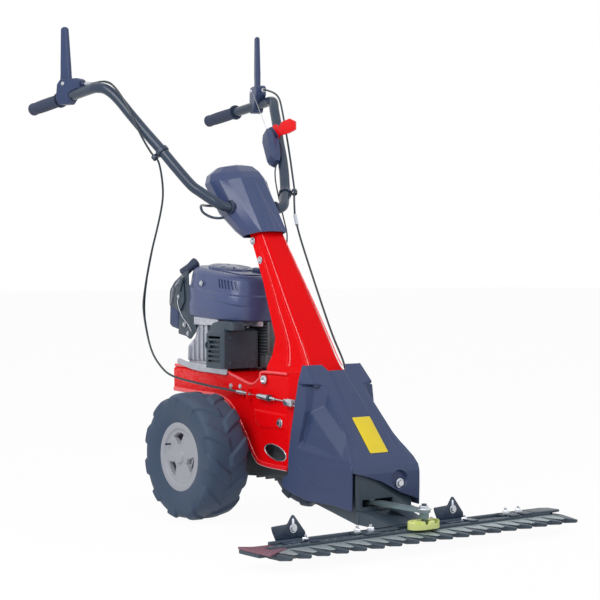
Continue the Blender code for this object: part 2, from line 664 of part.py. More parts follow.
def oriented_prism(outline, low, high, origin, u, v, w):
    """An outline in directions u and v, pushed along w from low to high."""
    return loft([[tuple(origin + u * a + v * b + w * level) for a, b in outline] for level in (low, high)])


def build_levers(handle):
    """Tall moulded levers, each on a pin in a forked bracket clamped round its tube."""
    up = Vector((0, 0, 1))
    for side, label, place, length in LEVERS:
        origin = Vector((place[0], side * place[1], place[2]))
        out = Vector((math.sin(LEVER_YAW), side * math.cos(LEVER_YAW), 0))
        back = Vector((-math.cos(LEVER_YAW), side * math.sin(LEVER_YAW), 0))
        pivot = make_empty(f"lever_{label}_axis", tuple(origin), ROOT)
        outline = arc_points(0, 0, 0.0190, 120, 240, 6)
        outline += [(0.030, -0.0175), (length - 0.005, -0.0060), (length, -0.0025), (length, 0.0120),
                    (length - 0.005, 0.0155), (0.030, 0.0175)]
        lever = make_piece(f"lever_{label}", *oriented_prism(outline, -0.0072, 0.0072, origin, up, back,
                                                             out),
                           "black", pivot)
        bevel(lever, 0.0022, 1, 50)
        boolean(lever, [rod(origin - out * 0.03, origin + out * 0.03, 0.0053, 12)])
        drop = place[2] - (1.1287 - (abs(place[0]) - 0.45) * 0.1)
        body = [(-drop - 0.022, -0.016), (-drop - 0.010, -0.026), (-0.016, -0.056), (0.008, -0.056),
                (0.013, -0.046), (0.013, 0.012), (0.000, 0.024), (-drop - 0.004, 0.028), (-drop - 0.022,
                                                                                          0.018)]
        bracket = make_piece(f"lever_bracket_{label}",
                             *oriented_prism(body, -0.0185, 0.0130, origin, up, back, out), "black", handle)
        bevel(bracket, 0.0025, 1, 50)
        slot = [(-0.0215, -0.0255), (0.100, -0.0255), (0.100, 0.100), (-0.0215, 0.100)]
        boolean(bracket, [oriented_prism(slot, -0.0078, 0.0078, origin, up, back, out)])
        pin = rod(origin - out * 0.0190, origin + out * 0.0150, 0.0048, 10)
        nozzle = rod(origin - up * 0.002 - back * 0.050, origin - up * 0.004 - back * 0.068, 0.0055, 8,
                     0.004)
        boolean(bracket, [pin, nozzle], "UNION")
        middle = Vector((-0.450, side * 0.2963, 1.1285))
        along = Vector((0.080, side * -0.0022, 0.0080)).normalized()
        boolean(bracket, [rod(middle - along * 0.12, middle + along * 0.12, TUBE_R + 0.0016, 12)])


def build_throttle(handle):
    """A faceted box inboard of the left tube; the red knob's disc turns in the slot of its upper end."""
    line = Vector((-0.631, 0.315, 0.710)).normalized()
    out = Vector((0.0, -1.0, 0.0))
    out = (out - line * out.dot(line)).normalized()
    wide = line.cross(out).normalized()
    if wide.x > 0:
        wide = -wide
    centre = Vector((-0.183, 0.209, 0.986))
    levels = [(-0.058, 0.012, 0.012), (-0.046, 0.019, 0.022), (0.020, 0.022, 0.027), (0.044, 0.018, 0.024),
              (0.058, 0.011, 0.013)]
    rings = []
    for along, half, depth in levels:
        c = centre + line * along + out * (TUBE_R + GAP)
        corners = [(-half, 0.0), (half, 0.0), (half, depth * 0.6), (half * 0.6, depth),
                   (-half * 0.6, depth),
                   (-half, depth * 0.6)]
        rings.append([tuple(c + wide * a + out * b) for a, b in corners])
    body = make_piece("throttle_box", *loft(rings), "black", handle)
    pivot_at = centre + line * 0.036 + out * (TUBE_R + 0.0125) - wide * 0.006
    turn = Vector((0.0, 1.0, 0.0))
    front = Vector((1.0, 0.0, 0.0))
    up = Vector((0.0, 0.0, 1.0))
    boolean(body, [rod(pivot_at - turn * 0.0052, pivot_at + turn * 0.0052, 0.0215, 20),
                   oriented_prism([(0.0, -0.012), (0.06, -0.012), (0.06, 0.06), (-0.012, 0.06)], -0.0051,
                                  0.0053,
                                  pivot_at, front, up, turn)])
    pivot = make_empty("throttle_axis", tuple(pivot_at), ROOT)
    disc = arc_points(0, 0, 0.0170, 40, 320, 10)
    knob = make_piece("throttle_knob", *oriented_prism(disc + [(0.026, -0.006), (0.026, 0.012)], -0.0042,
                                                       0.0042,
                                                       pivot_at, front, up, turn), "knob", pivot)
    paddle = [[(0.022, -0.006, -0.004), (0.022, -0.006, 0.0041), (0.022, 0.012, 0.0041),
               (0.022, 0.012, -0.004)],
              [(0.038, -0.006, -0.003), (0.034, -0.006, 0.0050), (0.034, 0.020, 0.0050),
               (0.038, 0.020, -0.003)],
              [(0.062, -0.002, 0.010), (0.057, -0.002, 0.020), (0.057, 0.026, 0.020),
               (0.062, 0.026, 0.010)],
              [(0.078, 0.004, 0.024), (0.073, 0.004, 0.032), (0.073, 0.020, 0.032), (0.078, 0.020, 0.024)]]
    boolean(knob, [loft([[tuple(pivot_at + front * a + up * b + turn * c) for a, b, c in ring]
                         for ring in paddle])], "UNION")


def ring_clip(name, side, along, reach, pivot):
    """A clip round a tube with an eye for the cable."""
    route = smooth_path(tube_route(side), 60)
    index = min(range(len(route)), key=lambda k: abs(route[k].z - along))
    centre = route[index]
    line = (route[index + 1] - route[index - 1]).normalized()
    ends = [centre - line * 0.006, centre + line * 0.006]
    verts, faces = shell(path_rings(ends, TUBE_R + 0.0040, 10), path_rings(ends, TUBE_R + 0.0014, 10))
    clip = make_piece(name, verts, faces, "tube", pivot, smooth=50)
    reach = Vector(reach)
    reach = (reach - line * reach.dot(line)).normalized()
    eye = centre + reach * (TUBE_R + 0.0115)
    boolean(clip, [rod(eye - line * 0.0058, eye + line * 0.0058, 0.0088, 10)], "UNION")
    boolean(clip, [rod(eye - line * 0.02, eye + line * 0.02, 0.0060, 10)])
    return eye, line


def beside_tube(side, height, direction):
    """A point beside a tube at a given height, held off it by a cable's reach in one direction."""
    route = smooth_path(tube_route(side), 80)
    index = min(range(1, len(route) - 1), key=lambda k: abs(route[k].z - height) + max(0.0,
                                                                                       -0.36 - route[k].x))
    line = (route[index + 1] - route[index - 1]).normalized()
    away = Vector(direction)
    away = (away - line * away.dot(line)).normalized()
    return route[index] + away * (TUBE_R + 0.0095)


def lever_nozzle(lever):
    """The end of the bracket's cable nozzle, and the way the cable leaves it."""
    side, _, place, _ = lever
    ahead = Vector((math.cos(LEVER_YAW), -side * math.sin(LEVER_YAW), 0))
    return Vector((place[0], side * place[1], place[2] - 0.004)) + ahead * 0.0696, ahead


def build_cables(handle):
    """Drive cable, knife cable, throttle cable and stop wire, each along its own route."""
    start, ahead = lever_nozzle(LEVERS[0])
    eye, line = ring_clip("cable_clip_right", -1, 0.958, (-0.45, -0.60, -0.60), handle)
    route = [start, start + ahead * 0.022, beside_tube(-1, 1.131, (0.5, 0.0, 0.9)),
             beside_tube(-1, 1.095, (0.8, -0.3, 0.5)), beside_tube(-1, 1.045, (0.7, -0.65, 0.1)),
             beside_tube(-1, 1.000, (0.2, -0.9, -0.3)), eye + line * 0.016, eye, eye - line * 0.016,
             (-0.166, -0.195, 0.887), (-0.186, -0.180, 0.832), (-0.229, -0.172, 0.752), (-0.264, -0.170,
                                                                                         0.684),
             (-0.298, -0.170, 0.579), (-0.301, -0.170, 0.527), (-0.265, -0.170, 0.430), (-0.215, -0.165,
                                                                                         0.380),
             (-0.165, -0.158, 0.358), (-0.070, -0.132, 0.3420), (0.020, -0.114, 0.3330), (0.070, LINK_Y,
                                                                                          0.3295),
             (0.1075, LINK_Y, 0.3265)]
    make_cable("drive_cable", route, 50, 0.0030, "tube")
    start, ahead = lever_nozzle(LEVERS[1])
    eye, line = ring_clip("cable_clip_left", 1, 0.852, (0.9, 0.42, -0.1), handle)
    route = [start, start + ahead * 0.022, beside_tube(1, 1.131, (0.6, 0.3, 0.8)),
             beside_tube(1, 1.070, (0.8, 0.5, 0.3)), beside_tube(1, 0.960, (0.9, 0.45, 0.1)),
             eye + line * 0.016, eye, eye - line * 0.016,
             (-0.020, 0.137, 0.796), (-0.001, 0.130, 0.766), (0.030, 0.120, 0.725), (0.096, 0.102, 0.644),
             (0.194, 0.092, 0.489), (0.248, 0.088, 0.418), (0.262, 0.0860, 0.390)]
    make_cable("knife_cable", route, 44, 0.0030, "tube")
    route = [(-0.1483, 0.1702, 0.9435), (-0.131, 0.152, 0.918), (-0.110, 0.139, 0.885),
             (-0.084, 0.131, 0.839), (-0.035, 0.108, 0.792),
             (0.028, 0.076, 0.738), (0.036, 0.066, 0.700), (0.014, 0.092, 0.640), (-0.030, 0.116, 0.590),
             (-0.060, 0.124, 0.575)]
    make_cable("throttle_cable", route, 22, 0.0022, "tube")
    top = Vector((-0.2235, 0.1960, 1.0320))
    near = Vector((LEVERS[1][2][0], LEVERS[1][2][1] - 0.0225, LEVERS[1][2][2] + 0.006))
    make_cable("stop_wire", [near, near * 0.5 + top * 0.5, top], 3, 0.0010, "steel", handle)


def build_link():
    """The pull wire, tensioner barrel and rod that carry the right lever's pull to the belt idler."""
    pivot = make_empty("link_line", (0.180, LINK_Y, 0.3220), ROOT)
    profile = [(0.0, 0.1125), (0.0014, 0.1125), (0.0014, 0.1480), (0.0040, 0.1490), (0.0065, 0.1530),
               (0.0065, 0.1900), (0.0072, 0.1905), (0.0072, 0.1960), (0.0050, 0.1980), (0.0038, 0.2080),
               (0.0024, 0.2100), (0.0024, 0.2760), (0.0055, 0.2765), (0.0055, 0.2830), (0.0024, 0.2835),
               (0.0024, 0.2980), (0.0, 0.2980)]
    verts, faces = revolve(profile, 8, (0, LINK_Y, 0), "x")
    tilted = [(x, y, z + 0.3265 - (x - 0.11) * 0.058) for x, y, z in verts]
    make_piece("drive_link", tilted, faces, "steel", pivot, smooth=35)


# Front cover, bar carrier

# The cover's right half at each height: rear edge, edge of the rear band, foot of the recess, a valley or
# a fold in it, and the front crease, each as distance forward and distance from the middle.
COVER_ROWS = [
    (0.409, (0.3120, 0.0900), (0.3155, 0.0892), (0.3180, 0.0885), (0.3200, 0.0880), (0.3225, 0.0865)),
    (0.368, (0.3160, 0.1060), (0.3470, 0.0965), (0.3490, 0.0959), (0.3540, 0.0945), (0.3585, 0.0930)),
    (0.352, (0.3145, 0.1083), (0.3480, 0.1065), (0.3505, 0.0822), (0.3620, 0.0730), (0.3728, 0.0618)),
    (0.300, (0.3100, 0.1140), (0.3490, 0.1120), (0.3515, 0.0914), (0.3930, 0.0705), (0.4180, 0.0670)),
    (0.250, (0.3020, 0.1165), (0.3380, 0.1147), (0.3410, 0.1003), (0.4090, 0.0974), (0.4616, 0.0745)),
    (0.198, (0.2930, 0.1175), (0.3240, 0.1160), (0.3270, 0.1079), (0.4760, 0.1015), (0.5070, 0.0955)),
    (0.176, (0.2910, 0.1175), (0.3200, 0.1160), (0.3230, 0.1158), (0.4800, 0.1085), (0.5245, 0.1040)),
    (0.142, (0.2890, 0.1175), (0.3150, 0.1163), (0.3180, 0.1161), (0.4700, 0.1089), (0.5290, 0.1060)),
    (0.124, (0.2660, 0.1175), (0.3100, 0.1154), (0.3130, 0.1152), (0.4600, 0.1085), (0.5290, 0.1060)),
    (0.078, (0.2660, 0.1175), (0.3100, 0.1154), (0.3130, 0.1152), (0.4600, 0.1085), (0.5280, 0.1060))]
COVER_NOTCH = ((0.0390, 0.0), (0.0230, 0.0155))
COVER_FOOT = (0.034, 0.014, 0.0135, 0.002, 0.0)


def thin_wall(rows, wall):
    """A sheet through open rows of points, given a wall thickness towards the inside of its bend."""
    outer = [[Vector(p) for p in row] for row in rows]
    inner = []
    for row in outer:
        line = []
        for j, point in enumerate(row):
            ahead = row[min(j + 1, len(row) - 1)]
            behind = row[max(j - 1, 0)]
            to_next = Vector((ahead.x - point.x, ahead.y - point.y)) if ahead != point else None
            to_last = Vector((point.x - behind.x, point.y - behind.y)) if behind != point else None
            sides = [Vector((-d.y, d.x)).normalized() for d in (to_last, to_next) if d and d.length > 0]
            normal = sum(sides, Vector((0, 0))).normalized()
            reach = wall / max(normal.dot(sides[0]), 0.5)
            line.append(Vector((point.x + normal.x * reach, point.y + normal.y * reach, point.z)))
        inner.append(line)
    count = len(outer[0])
    levels = len(outer)
    verts = [p for row in outer for p in row] + [p for row in inner for p in row]
    shift = count * levels
    faces = []
    for i in range(levels - 1):
        for j in range(count - 1):
            a = i * count + j
            faces.append((a, a + 1, a + count + 1, a + count))
            faces.append((shift + a, shift + a + count, shift + a + count + 1, shift + a + 1))
        for j in (0, count - 1):
            a = i * count + j
            faces.append((a, a + count, shift + a + count, shift + a))
    for i in (0, levels - 1):
        for j in range(count - 1):
            a = i * count + j
            faces.append((a, shift + a, shift + a + 1, a + 1))
    return verts, faces


def build_cover():
    """A moulded shell, open behind and below; horns at the top, recessed panels on its sides."""
    rows = []
    for z, *points in COVER_ROWS:
        half = [(x, y, z + (lift if z < 0.1 else 0.0)) for (x, y), lift in zip(points, COVER_FOOT)]
        half += [(points[-1][0], y, z - (drop if z > 0.4 else 0.0)) for y, drop in COVER_NOTCH]
        rows.append([(x, -y, h) for x, y, h in half] + list(reversed(half)))
    cover = make_piece("front_cover", *thin_wall(rows, SHEET), "black", None, smooth=20)
    opening = [(-0.1015, 0.164), (-0.052, 0.150), (-0.013, 0.137), (0.040, 0.109), (0.089, 0.092),
               (0.0995, 0.087), (0.0995, 0.040), (-0.1015, 0.040)]
    boolean(cover, [prism(opening, 0.505, 0.560, "x")])


def build_carrier():
    """The nose casting that holds the bar: a hollow box with a slot for the arm, and a neck in front."""
    profile = [(0.3223, 0.080), (0.3223, 0.150), (0.490, 0.150), (0.500, 0.168), (0.518, 0.168),
               (0.518, 0.0720), (0.560, 0.0690), (0.6335, 0.0520), (0.6335, 0.0385), (0.520, 0.0400)]
    carrier = make_piece("bar_carrier", *prism(profile, -0.088, 0.088, "y"), "dark_steel")
    tools = [box(0.334, 0.440, -0.080, 0.080, 0.088, 0.160),
             box(0.446, 0.507, -0.075, 0.032, 0.0745, 0.1012),
             box(0.506, 0.600, -0.066, 0.028, 0.0790, 0.0960),
             box(0.446, 0.489, -0.080, 0.080, 0.1190, 0.160),
             box(0.530, 0.700, 0.045, 0.100, 0.020, 0.090), box(0.530, 0.700, -0.100, -0.086, 0.020, 0.090),
             box(0.540, 0.700, -0.045, 0.002, 0.060, 0.090)]
    boolean(carrier, tools)
    boolean(carrier, [rod((*ARM_PIVOT, 0.100), (*ARM_PIVOT, 0.140), 0.0083, 16)])


# Finger bar, knife, skids

def finger_y(i):
    return FIRST_FINGER_Y + PITCH * i


def build_bar():
    outline = [(BAR_BACK_X, -0.445), (0.616, -0.494), (0.626, -0.500), (BAR_FRONT_X, BAR_END_R)]
    heights = {}
    for i in range(FINGERS):
        y = finger_y(i)
        outline += [(BAR_FRONT_X, y - 0.0125), (FINGER_TIP_X - 0.004, y - 0.0045),
                    (FINGER_TIP_X, y - 0.0025),
                    (FINGER_TIP_X, y + 0.0025), (FINGER_TIP_X - 0.004, y + 0.0045),
                    (BAR_FRONT_X, y + 0.0125)]
    y = finger_y(FINGERS)
    outline += [(BAR_FRONT_X, y - 0.012), (0.772, y - 0.003), (0.772, y + 0.003), (BAR_FRONT_X, 0.430),
                (0.684, BAR_END_L), (0.640, 0.428), (BAR_BACK_X, 0.405)]
    verts, faces = prism(outline, BAR_Z, BAR_TOP, "z")
    shaped = []
    for x, y, z in verts:
        if x > FINGER_TIP_X - 0.006:
            z = 0.0325 if z < 0.034 else z
        shaped.append((x, y, z))
    make_piece("finger_bar", shaped, faces, "dark_steel")
    plate = make_piece("bar_mount_plate", *box(0.6360, 0.6640, -0.205, 0.045, BAR_TOP + GAP, 0.0465),
                       "dark_steel")
    tools = []
    for x, y in ((0.650, -0.190), (0.650, -0.150), (0.650, 0.012), (0.650, 0.036)):
        tools += stud(x, y, 0.0465, 0.022)
    tools.append(box(0.6550, 0.6860, -0.192, -0.150, 0.0466, 0.0500))
    tools.append(box(0.6550, 0.6640, -0.192, -0.150, 0.0440, 0.0500))
    boolean(plate, tools, "UNION")


def build_knife():
    pivot = make_empty("knife_line", (KNIFE_HEAD[0], KNIFE_HEAD[1], 0.0), ROOT)
    outline = [(0.6680, finger_y(0) - 0.0005), (0.6680, finger_y(FINGERS) + 0.0005)]
    for i in reversed(range(FINGERS)):
        y = finger_y(i) + PITCH / 2
        outline += [(0.6900, y + PITCH / 2 - 0.0006), (0.7440, y + 0.0060), (0.7440, y - 0.0060),
                    (0.6900, y - PITCH / 2 + 0.0006)]
    knife = make_piece("knife", *prism(outline, KNIFE_Z, KNIFE_Z + 0.0020, "z"), "steel", pivot)
    back = box(0.6690, 0.6860, finger_y(0) + 0.003, finger_y(FINGERS) - 0.003, KNIFE_Z + 0.001, 0.0462)
    boolean(knife, [back], "UNION")
    half = ellipse_points(KNIFE_HEAD[0] + 0.004, KNIFE_HEAD[1], 0.0230, 0.0430, 18)
    head = make_piece("knife_head", *prism(half, 0.0462 + GAP, 0.0660, "z"), "head", pivot)
    bevel(head, 0.002, 1, 60)
    slot = rounded([(KNIFE_HEAD[0] - 0.008, KNIFE_HEAD[1] - 0.0066),
                    (KNIFE_HEAD[0] + 0.016, KNIFE_HEAD[1] - 0.0066),
                    (KNIFE_HEAD[0] + 0.016, KNIFE_HEAD[1] + 0.0066), (KNIFE_HEAD[0] - 0.008,
                                                                      KNIFE_HEAD[1] + 0.0066)],
                   0.006)
    tools = [prism(slot, 0.0520, 0.080, "z")]
    for dy in (-0.028, 0.028):
        tools.append(prism(ellipse_points(KNIFE_HEAD[0] + 0.006, KNIFE_HEAD[1] + dy, 0.0100, 0.0075, 10),
                           0.0560, 0.080, "z"))
    boolean(head, tools)
    arm_axis = make_empty("arm_axis", (*ARM_PIVOT, ARM_Z), ROOT)
    reach = KNIFE_HEAD[0] + 0.006 - ARM_PIVOT[0]
    plan = arc_points(0, 0, 0.020, 100, 260, 6) + arc_points(reach, 0, 0.015, -80, 80, 6)
    plan = [(x + ARM_PIVOT[0], y + ARM_PIVOT[1]) for x, y in plan]
    arm = make_piece("drive_arm", *prism(plan, ARM_Z, ARM_Z + 0.007, "z"), "steel", arm_axis)
    tip = (ARM_PIVOT[0] + reach, ARM_PIVOT[1])
    extra = [rod((*tip, 0.0560), (*tip, ARM_Z + 0.001), 0.0060, 10),
             rod((*tip, 0.0700), (*tip, ARM_Z + 0.001), 0.0110, 10),
             hex_nut(*tip, ARM_Z + 0.006, 0.019, 0.009), rod((*tip, 0.09), (*tip, 0.1040), 0.0050, 8),
             rod((*ARM_PIVOT, ARM_Z - 0.006), (*ARM_PIVOT, 0.0985), 0.0150, 12),
             rod((*ARM_PIVOT, 0.0980), (*ARM_PIVOT, 0.1350), 0.0078, 10)]
    boolean(arm, extra, "UNION")


SKIDS = ((-0.357, "right"), (0.121, "left"))


def build_skids():
    for y, label in SKIDS:
        upright = [(y - 0.068, 0.0450), (y - 0.066, 0.0860), (y - 0.024, 0.0880), (y - 0.004, 0.1080),
                   (y + 0.004, 0.1080), (y + 0.034, 0.0600), (y + 0.034, 0.0450)]
        bracket = make_piece(f"skid_bracket_{label}", *prism(upright, 0.6260, 0.6300, "x"), "dark_steel")
        bend = [(0.6257, 0.0383), (0.6640, 0.0383), (0.6640, 0.0424), (0.6303, 0.0424), (0.6303, 0.0500),
                (0.6257, 0.0500)]
        foot = prism(bend, y - 0.066, y + 0.036, "y")
        clip = [(0.6540, 0.0400), (0.6630, 0.0400), (0.6630, 0.0466), (0.6860, 0.0466), (0.6860, 0.0500),
                (0.6540, 0.0500)]
        boolean(bracket, [foot, prism(clip, y + 0.010, y + 0.033, "y")] + stud(0.646, y + 0.022, 0.0424,
                                                                               0.024), "UNION")
        slot = rounded([(y - 0.0040, 0.0620), (y + 0.0040, 0.0620), (y + 0.0040, 0.0980),
                        (y - 0.0040, 0.0980)],
                       0.004)
        boolean(bracket, [prism(slot, 0.610, 0.640, "x")])
        pivot = make_empty(f"skid_{label}_line", (0.6240, y, 0.0), ROOT)
        sole = [(0.600, 0.0150), (0.604, 0.0165), (0.6180, 0.0050), (0.7350, 0.0050), (0.7500, 0.0110),
                (0.7530, 0.0085), (0.7380, 0.0000), (0.6160, 0.0000)]
        skid = make_piece(f"skid_{label}", *prism(sole, y - 0.020, y + 0.020, "y"), "dark_steel", pivot)
        stem = box(0.6210, 0.6250, y - 0.012, y + 0.012, 0.0030, 0.0800)
        bolt = rod((0.6240, y, 0.0720), (0.6360, y, 0.0720), 0.0035, 10)
        bolt_head = rod((0.6308, y, 0.0720), (0.6360, y, 0.0720), 0.0070, 6)
        boolean(skid, [stem, bolt, bolt_head], "UNION")


def build_clamps():
    clamp = make_piece("knife_clamp_left", *box(0.6360, 0.6640, 0.255, 0.340, BAR_TOP + GAP, 0.0480),
                       "dark_steel")
    boolean(clamp, [box(0.6600, 0.6860, 0.262, 0.292, 0.0466, 0.0510),
                    box(0.6600, 0.6860, 0.306, 0.336, 0.0466, 0.0510)]
            + stud(0.650, 0.277, 0.0480, 0.022) + stud(0.650, 0.320, 0.0480, 0.022), "UNION")


# Engine

def superellipse(cx, cy, hx, hy, steps, power=3.2):
    """A rounded rectangle as a superellipse."""
    points = []
    for a in np.linspace(0, 2 * math.pi, steps, endpoint=False):
        c, s = math.cos(a), math.sin(a)
        points.append((cx + hx * math.copysign(abs(c) ** (2 / power), c),
                       cy + hy * math.copysign(abs(s) ** (2 / power), s)))
    return points


def level_rings(levels, steps, power=3.2):
    return [[(x, y, z + slope * (x - cx)) for x, y in superellipse(cx, cy, hx, hy, steps, power)]
            for z, cx, cy, hx, hy, slope in levels]


SHROUD_X = -0.098
SHROUD_FOOT = 0.516
SHROUD_LEAN = -0.055
SHROUD_TOP = 0.643
TOP_LEAN = -0.140
FUEL_CAP = (-0.058, 0.042)
# Each arm that carries the shroud: rear and front end, underside, right and left face.
SHROUD_ARMS = [(-0.234, -0.150, 0.500, -0.012, 0.012), (-0.080, 0.038, 0.4960, -0.027, -0.011),
               (-0.160, -0.045, 0.4980, -0.098, -0.030), (-0.130, -0.066, 0.4980, 0.030, 0.098)]


def shroud_edge(x):
    return SHROUD_FOOT + SHROUD_LEAN * (x - SHROUD_X)


def top_height(x):
    return SHROUD_TOP + TOP_LEAN * (x - SHROUD_X)


def build_engine():
    base = DECK_Z + GAP
    case = [(0.0, base), (0.0840, base), (0.0840, base + 0.0140), (0.0700, base + 0.0180),
            (0.0660, 0.4300), (0.0660, 0.4850), (0.0580, 0.5050), (0.0300, 0.5180), (0.0, 0.5180)]
    crankcase = make_piece("crankcase", *revolve(case, 18, (*CRANK, 0), "z"), "alu", None, smooth=35)
    feet = []
    for k in range(4):
        a = math.radians(45 + 90 * k)
        x, y = CRANK[0] + 0.088 * math.cos(a), 0.088 * math.sin(a)
        feet.append(rod((x, y, base), (x, y, base + 0.019), 0.0130, 8))
    plan = [(-0.222, -0.060), (-0.200, -0.088), (-0.125, -0.090), (-0.100, -0.070),
            (-0.100, 0.070), (-0.125, 0.090), (-0.200, 0.088), (-0.222, 0.060)]
    casting = loft([[(x, y, base + 0.0020) for x, y in plan], [(x, y, 0.4250) for x,
                                                      y in inset_outline(plan, 0.004)],
                    [(x, y, 0.4700) for x, y in inset_outline(plan, 0.024)]])
    boolean(crankcase, feet, "UNION")
    boolean(crankcase, [casting], "UNION")
    boolean(crankcase, [box(-0.090, -0.068, -0.0290, 0.0290, 0.427, 0.494)], "UNION")
    arms = []
    for rear, front, low, first, last in SHROUD_ARMS:
        side = [(rear, low), (front, low), (front, shroud_edge(front) - GAP),
                (rear, shroud_edge(rear) - GAP)]
        arms.append(prism(side, first, last, "y"))
    boolean(crankcase, arms, "UNION")
    boolean(crankcase, [rod((*CRANK, 0.30), (*CRANK, 0.60), 0.0128, 16)])
    fins = []
    for k in range(5):
        x = -0.0520 + 0.0160 * k
        fins.append(box(x, x + 0.006, 0.0, 0.072, 0.418, 0.508))
    core = rod((-0.0560, 0.036, 0.463), (0.024, 0.036, 0.463), 0.0290, 14)
    cylinder = make_piece("cylinder", *core, "alu")
    head = box(0.018, 0.036, 0.004, 0.068, 0.424, 0.502)
    boolean(cylinder, fins + [head, rod((0.030, 0.036, 0.463), (0.052, 0.036, 0.463), 0.0070, 6)], "UNION")
    levels = [(SHROUD_FOOT, SHROUD_X, 0.0, 0.135, 0.100, SHROUD_LEAN),
              (0.543, SHROUD_X, 0.0, 0.139, 0.106, -0.075),
              (0.596, SHROUD_X, 0.0, 0.137, 0.105, -0.130), (0.627, SHROUD_X, 0.0, 0.126, 0.090, TOP_LEAN),
              (SHROUD_TOP, SHROUD_X, 0.0, 0.112, 0.074, TOP_LEAN)]
    inner = [(z - 0.003, cx, cy, hx - SHEET, hy - SHEET, slope) for z, cx, cy, hx, hy, slope in levels]
    inner[0] = (SHROUD_FOOT, *inner[0][1:])
    shroud = make_piece("engine_shroud", *cup(level_rings(levels, 24), level_rings(inner, 24)), "black",
                        None, smooth=30)
    boolean(shroud, [rod((*CRANK, 0.60), (*CRANK, 0.70), 0.048, 24)])
    seat = top_height(CRANK[0]) + GAP
    lid = [(seat, 0.0620), (seat + 0.0050, 0.0615), (seat + 0.0078, 0.0550), (seat + 0.0088, 0.0200)]
    under = [(seat, 0.0590), (seat + 0.0028, 0.0585), (seat + 0.0050, 0.0520), (seat + 0.0060, 0.0180)]
    skins = [level_rings([(z, *CRANK, r, r, TOP_LEAN) for z, r in rows], 20, 2.0) for rows in (lid, under)]
    recoil = make_piece("recoil_cover", *cup(*skins), "black", None, smooth=30)
    slots = []
    for k in range(8):
        a = 2 * math.pi * (k + 0.5) / 8
        c, s = math.cos(a), math.sin(a)
        cut = [(0.026, -0.0020), (0.051, -0.0055), (0.051, 0.0055), (0.026, 0.0020)]
        slots.append(prism([(CRANK[0] + x * c - y * s, x * s + y * c) for x, y in cut], 0.630, 0.680, "z"))
    boolean(recoil, slots)
    seat = top_height(FUEL_CAP[0]) + GAP
    neck = [(seat, 0.0150), (seat + 0.0024, 0.0160), (seat + 0.0100, 0.0160), (seat + 0.0125, 0.0130)]
    cap_axis = make_empty("fuel_cap_axis", (*FUEL_CAP, seat), ROOT)
    cap = loft(level_rings([(z, *FUEL_CAP, r, r, TOP_LEAN) for z, r in neck], 14, 2.0))
    make_piece("fuel_cap", *cap, "black", cap_axis, smooth=35)


def inset_outline(outline, distance):
    """A closed outline moved inwards by a distance, corner by corner."""
    n = len(outline)
    following = outline[1:] + outline[:1]
    area = sum(here[0] * after[1] - after[0] * here[1] for here, after in zip(outline, following))
    sign = 1.0 if area > 0 else -1.0
    moved = []
    for i in range(n):
        before, here, after = (Vector(outline[(i + k) % n]) for k in (-1, 0, 1))
        first, second = (here - before).normalized(), (after - here).normalized()
        normals = [Vector((-d.y, d.x)) * sign for d in (first, second)]
        mean = (normals[0] + normals[1]).normalized()
        point = here + mean * (distance / max(mean.dot(normals[0]), 0.4))
        moved.append((point.x, point.y))
    return moved


def build_engine_sides():
    """Air filter box, muffler in its louvred guard, starter grip."""
    box_rings = [[(-0.286, -0.088, 0.488), (-0.2455, -0.088, 0.480), (-0.2455, -0.020, 0.480),
                  (-0.286, -0.020, 0.488)],
                 [(-0.292, -0.092, 0.496), (-0.2452, -0.092, 0.493), (-0.2452, -0.016, 0.493),
                  (-0.292, -0.016, 0.496)],
                 [(-0.288, -0.092, 0.588), (-0.2470, -0.092, 0.592), (-0.2470, -0.016, 0.592),
                  (-0.288, -0.016, 0.588)]]
    make_piece("air_filter_box", *loft([[(x - 0.0015, y, z) for x, y, z in ring] for ring in box_rings]),
               "black")
    plan = [(-0.072, -0.088), (-0.068, -0.120), (0.006, -0.122), (0.013, -0.117), (0.013, -0.010),
            (-0.038, -0.010), (-0.040, -0.040), (-0.048, -0.084)]
    low = [(x, y, DECK_Z + GAP) for x, y in plan]
    high = [(x, y, 0.476 + 0.1 * (x + 0.06)) for x, y in plan]
    top = [(x, y, 0.492) for x, y in inset_outline(plan, 0.010)]
    guard = make_piece("muffler_guard", *loft([low, high, top]), "tube")
    boolean(guard, [prism(inset_outline(plan, 0.0025), 0.380, 0.4700, "z")])
    louvres = [box(-0.058, 0.000, -0.130, -0.100, 0.402 + 0.0125 * k,
                   0.4075 + 0.0125 * k) for k in range(6)]
    boolean(guard, louvres)
    make_piece("muffler", *prism(inset_outline(plan, 0.0060), 0.396, 0.462, "z"), "dark_steel")
    grip_axis = make_empty("starter_axis", (-0.2295, -0.0695, 0.6605), ROOT)
    start, end = Vector((-0.2400, -0.0790, 0.6450)), Vector((-0.2190, -0.0600, 0.6760))
    make_piece("starter_grip", *rod(start, end, 0.0100, 12, 0.0115), "black", grip_axis, smooth=50)


def main():
    build_wheels()
    build_axle()
    build_chassis()
    build_gearbox()
    build_drive()
    build_mast()
    build_hood()
    build_bail()
    handle = make_empty("handle_axis", (HEAD[0], 0, HEAD[1]), ROOT)
    build_handlebar(handle)
    build_levers(handle)
    build_throttle(handle)
    build_cables(handle)
    build_link()
    build_cover()
    build_carrier()
    build_bar()
    build_knife()
    build_skids()
    build_clamps()
    build_engine()
    build_engine_sides()


main()
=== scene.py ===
import json
import math

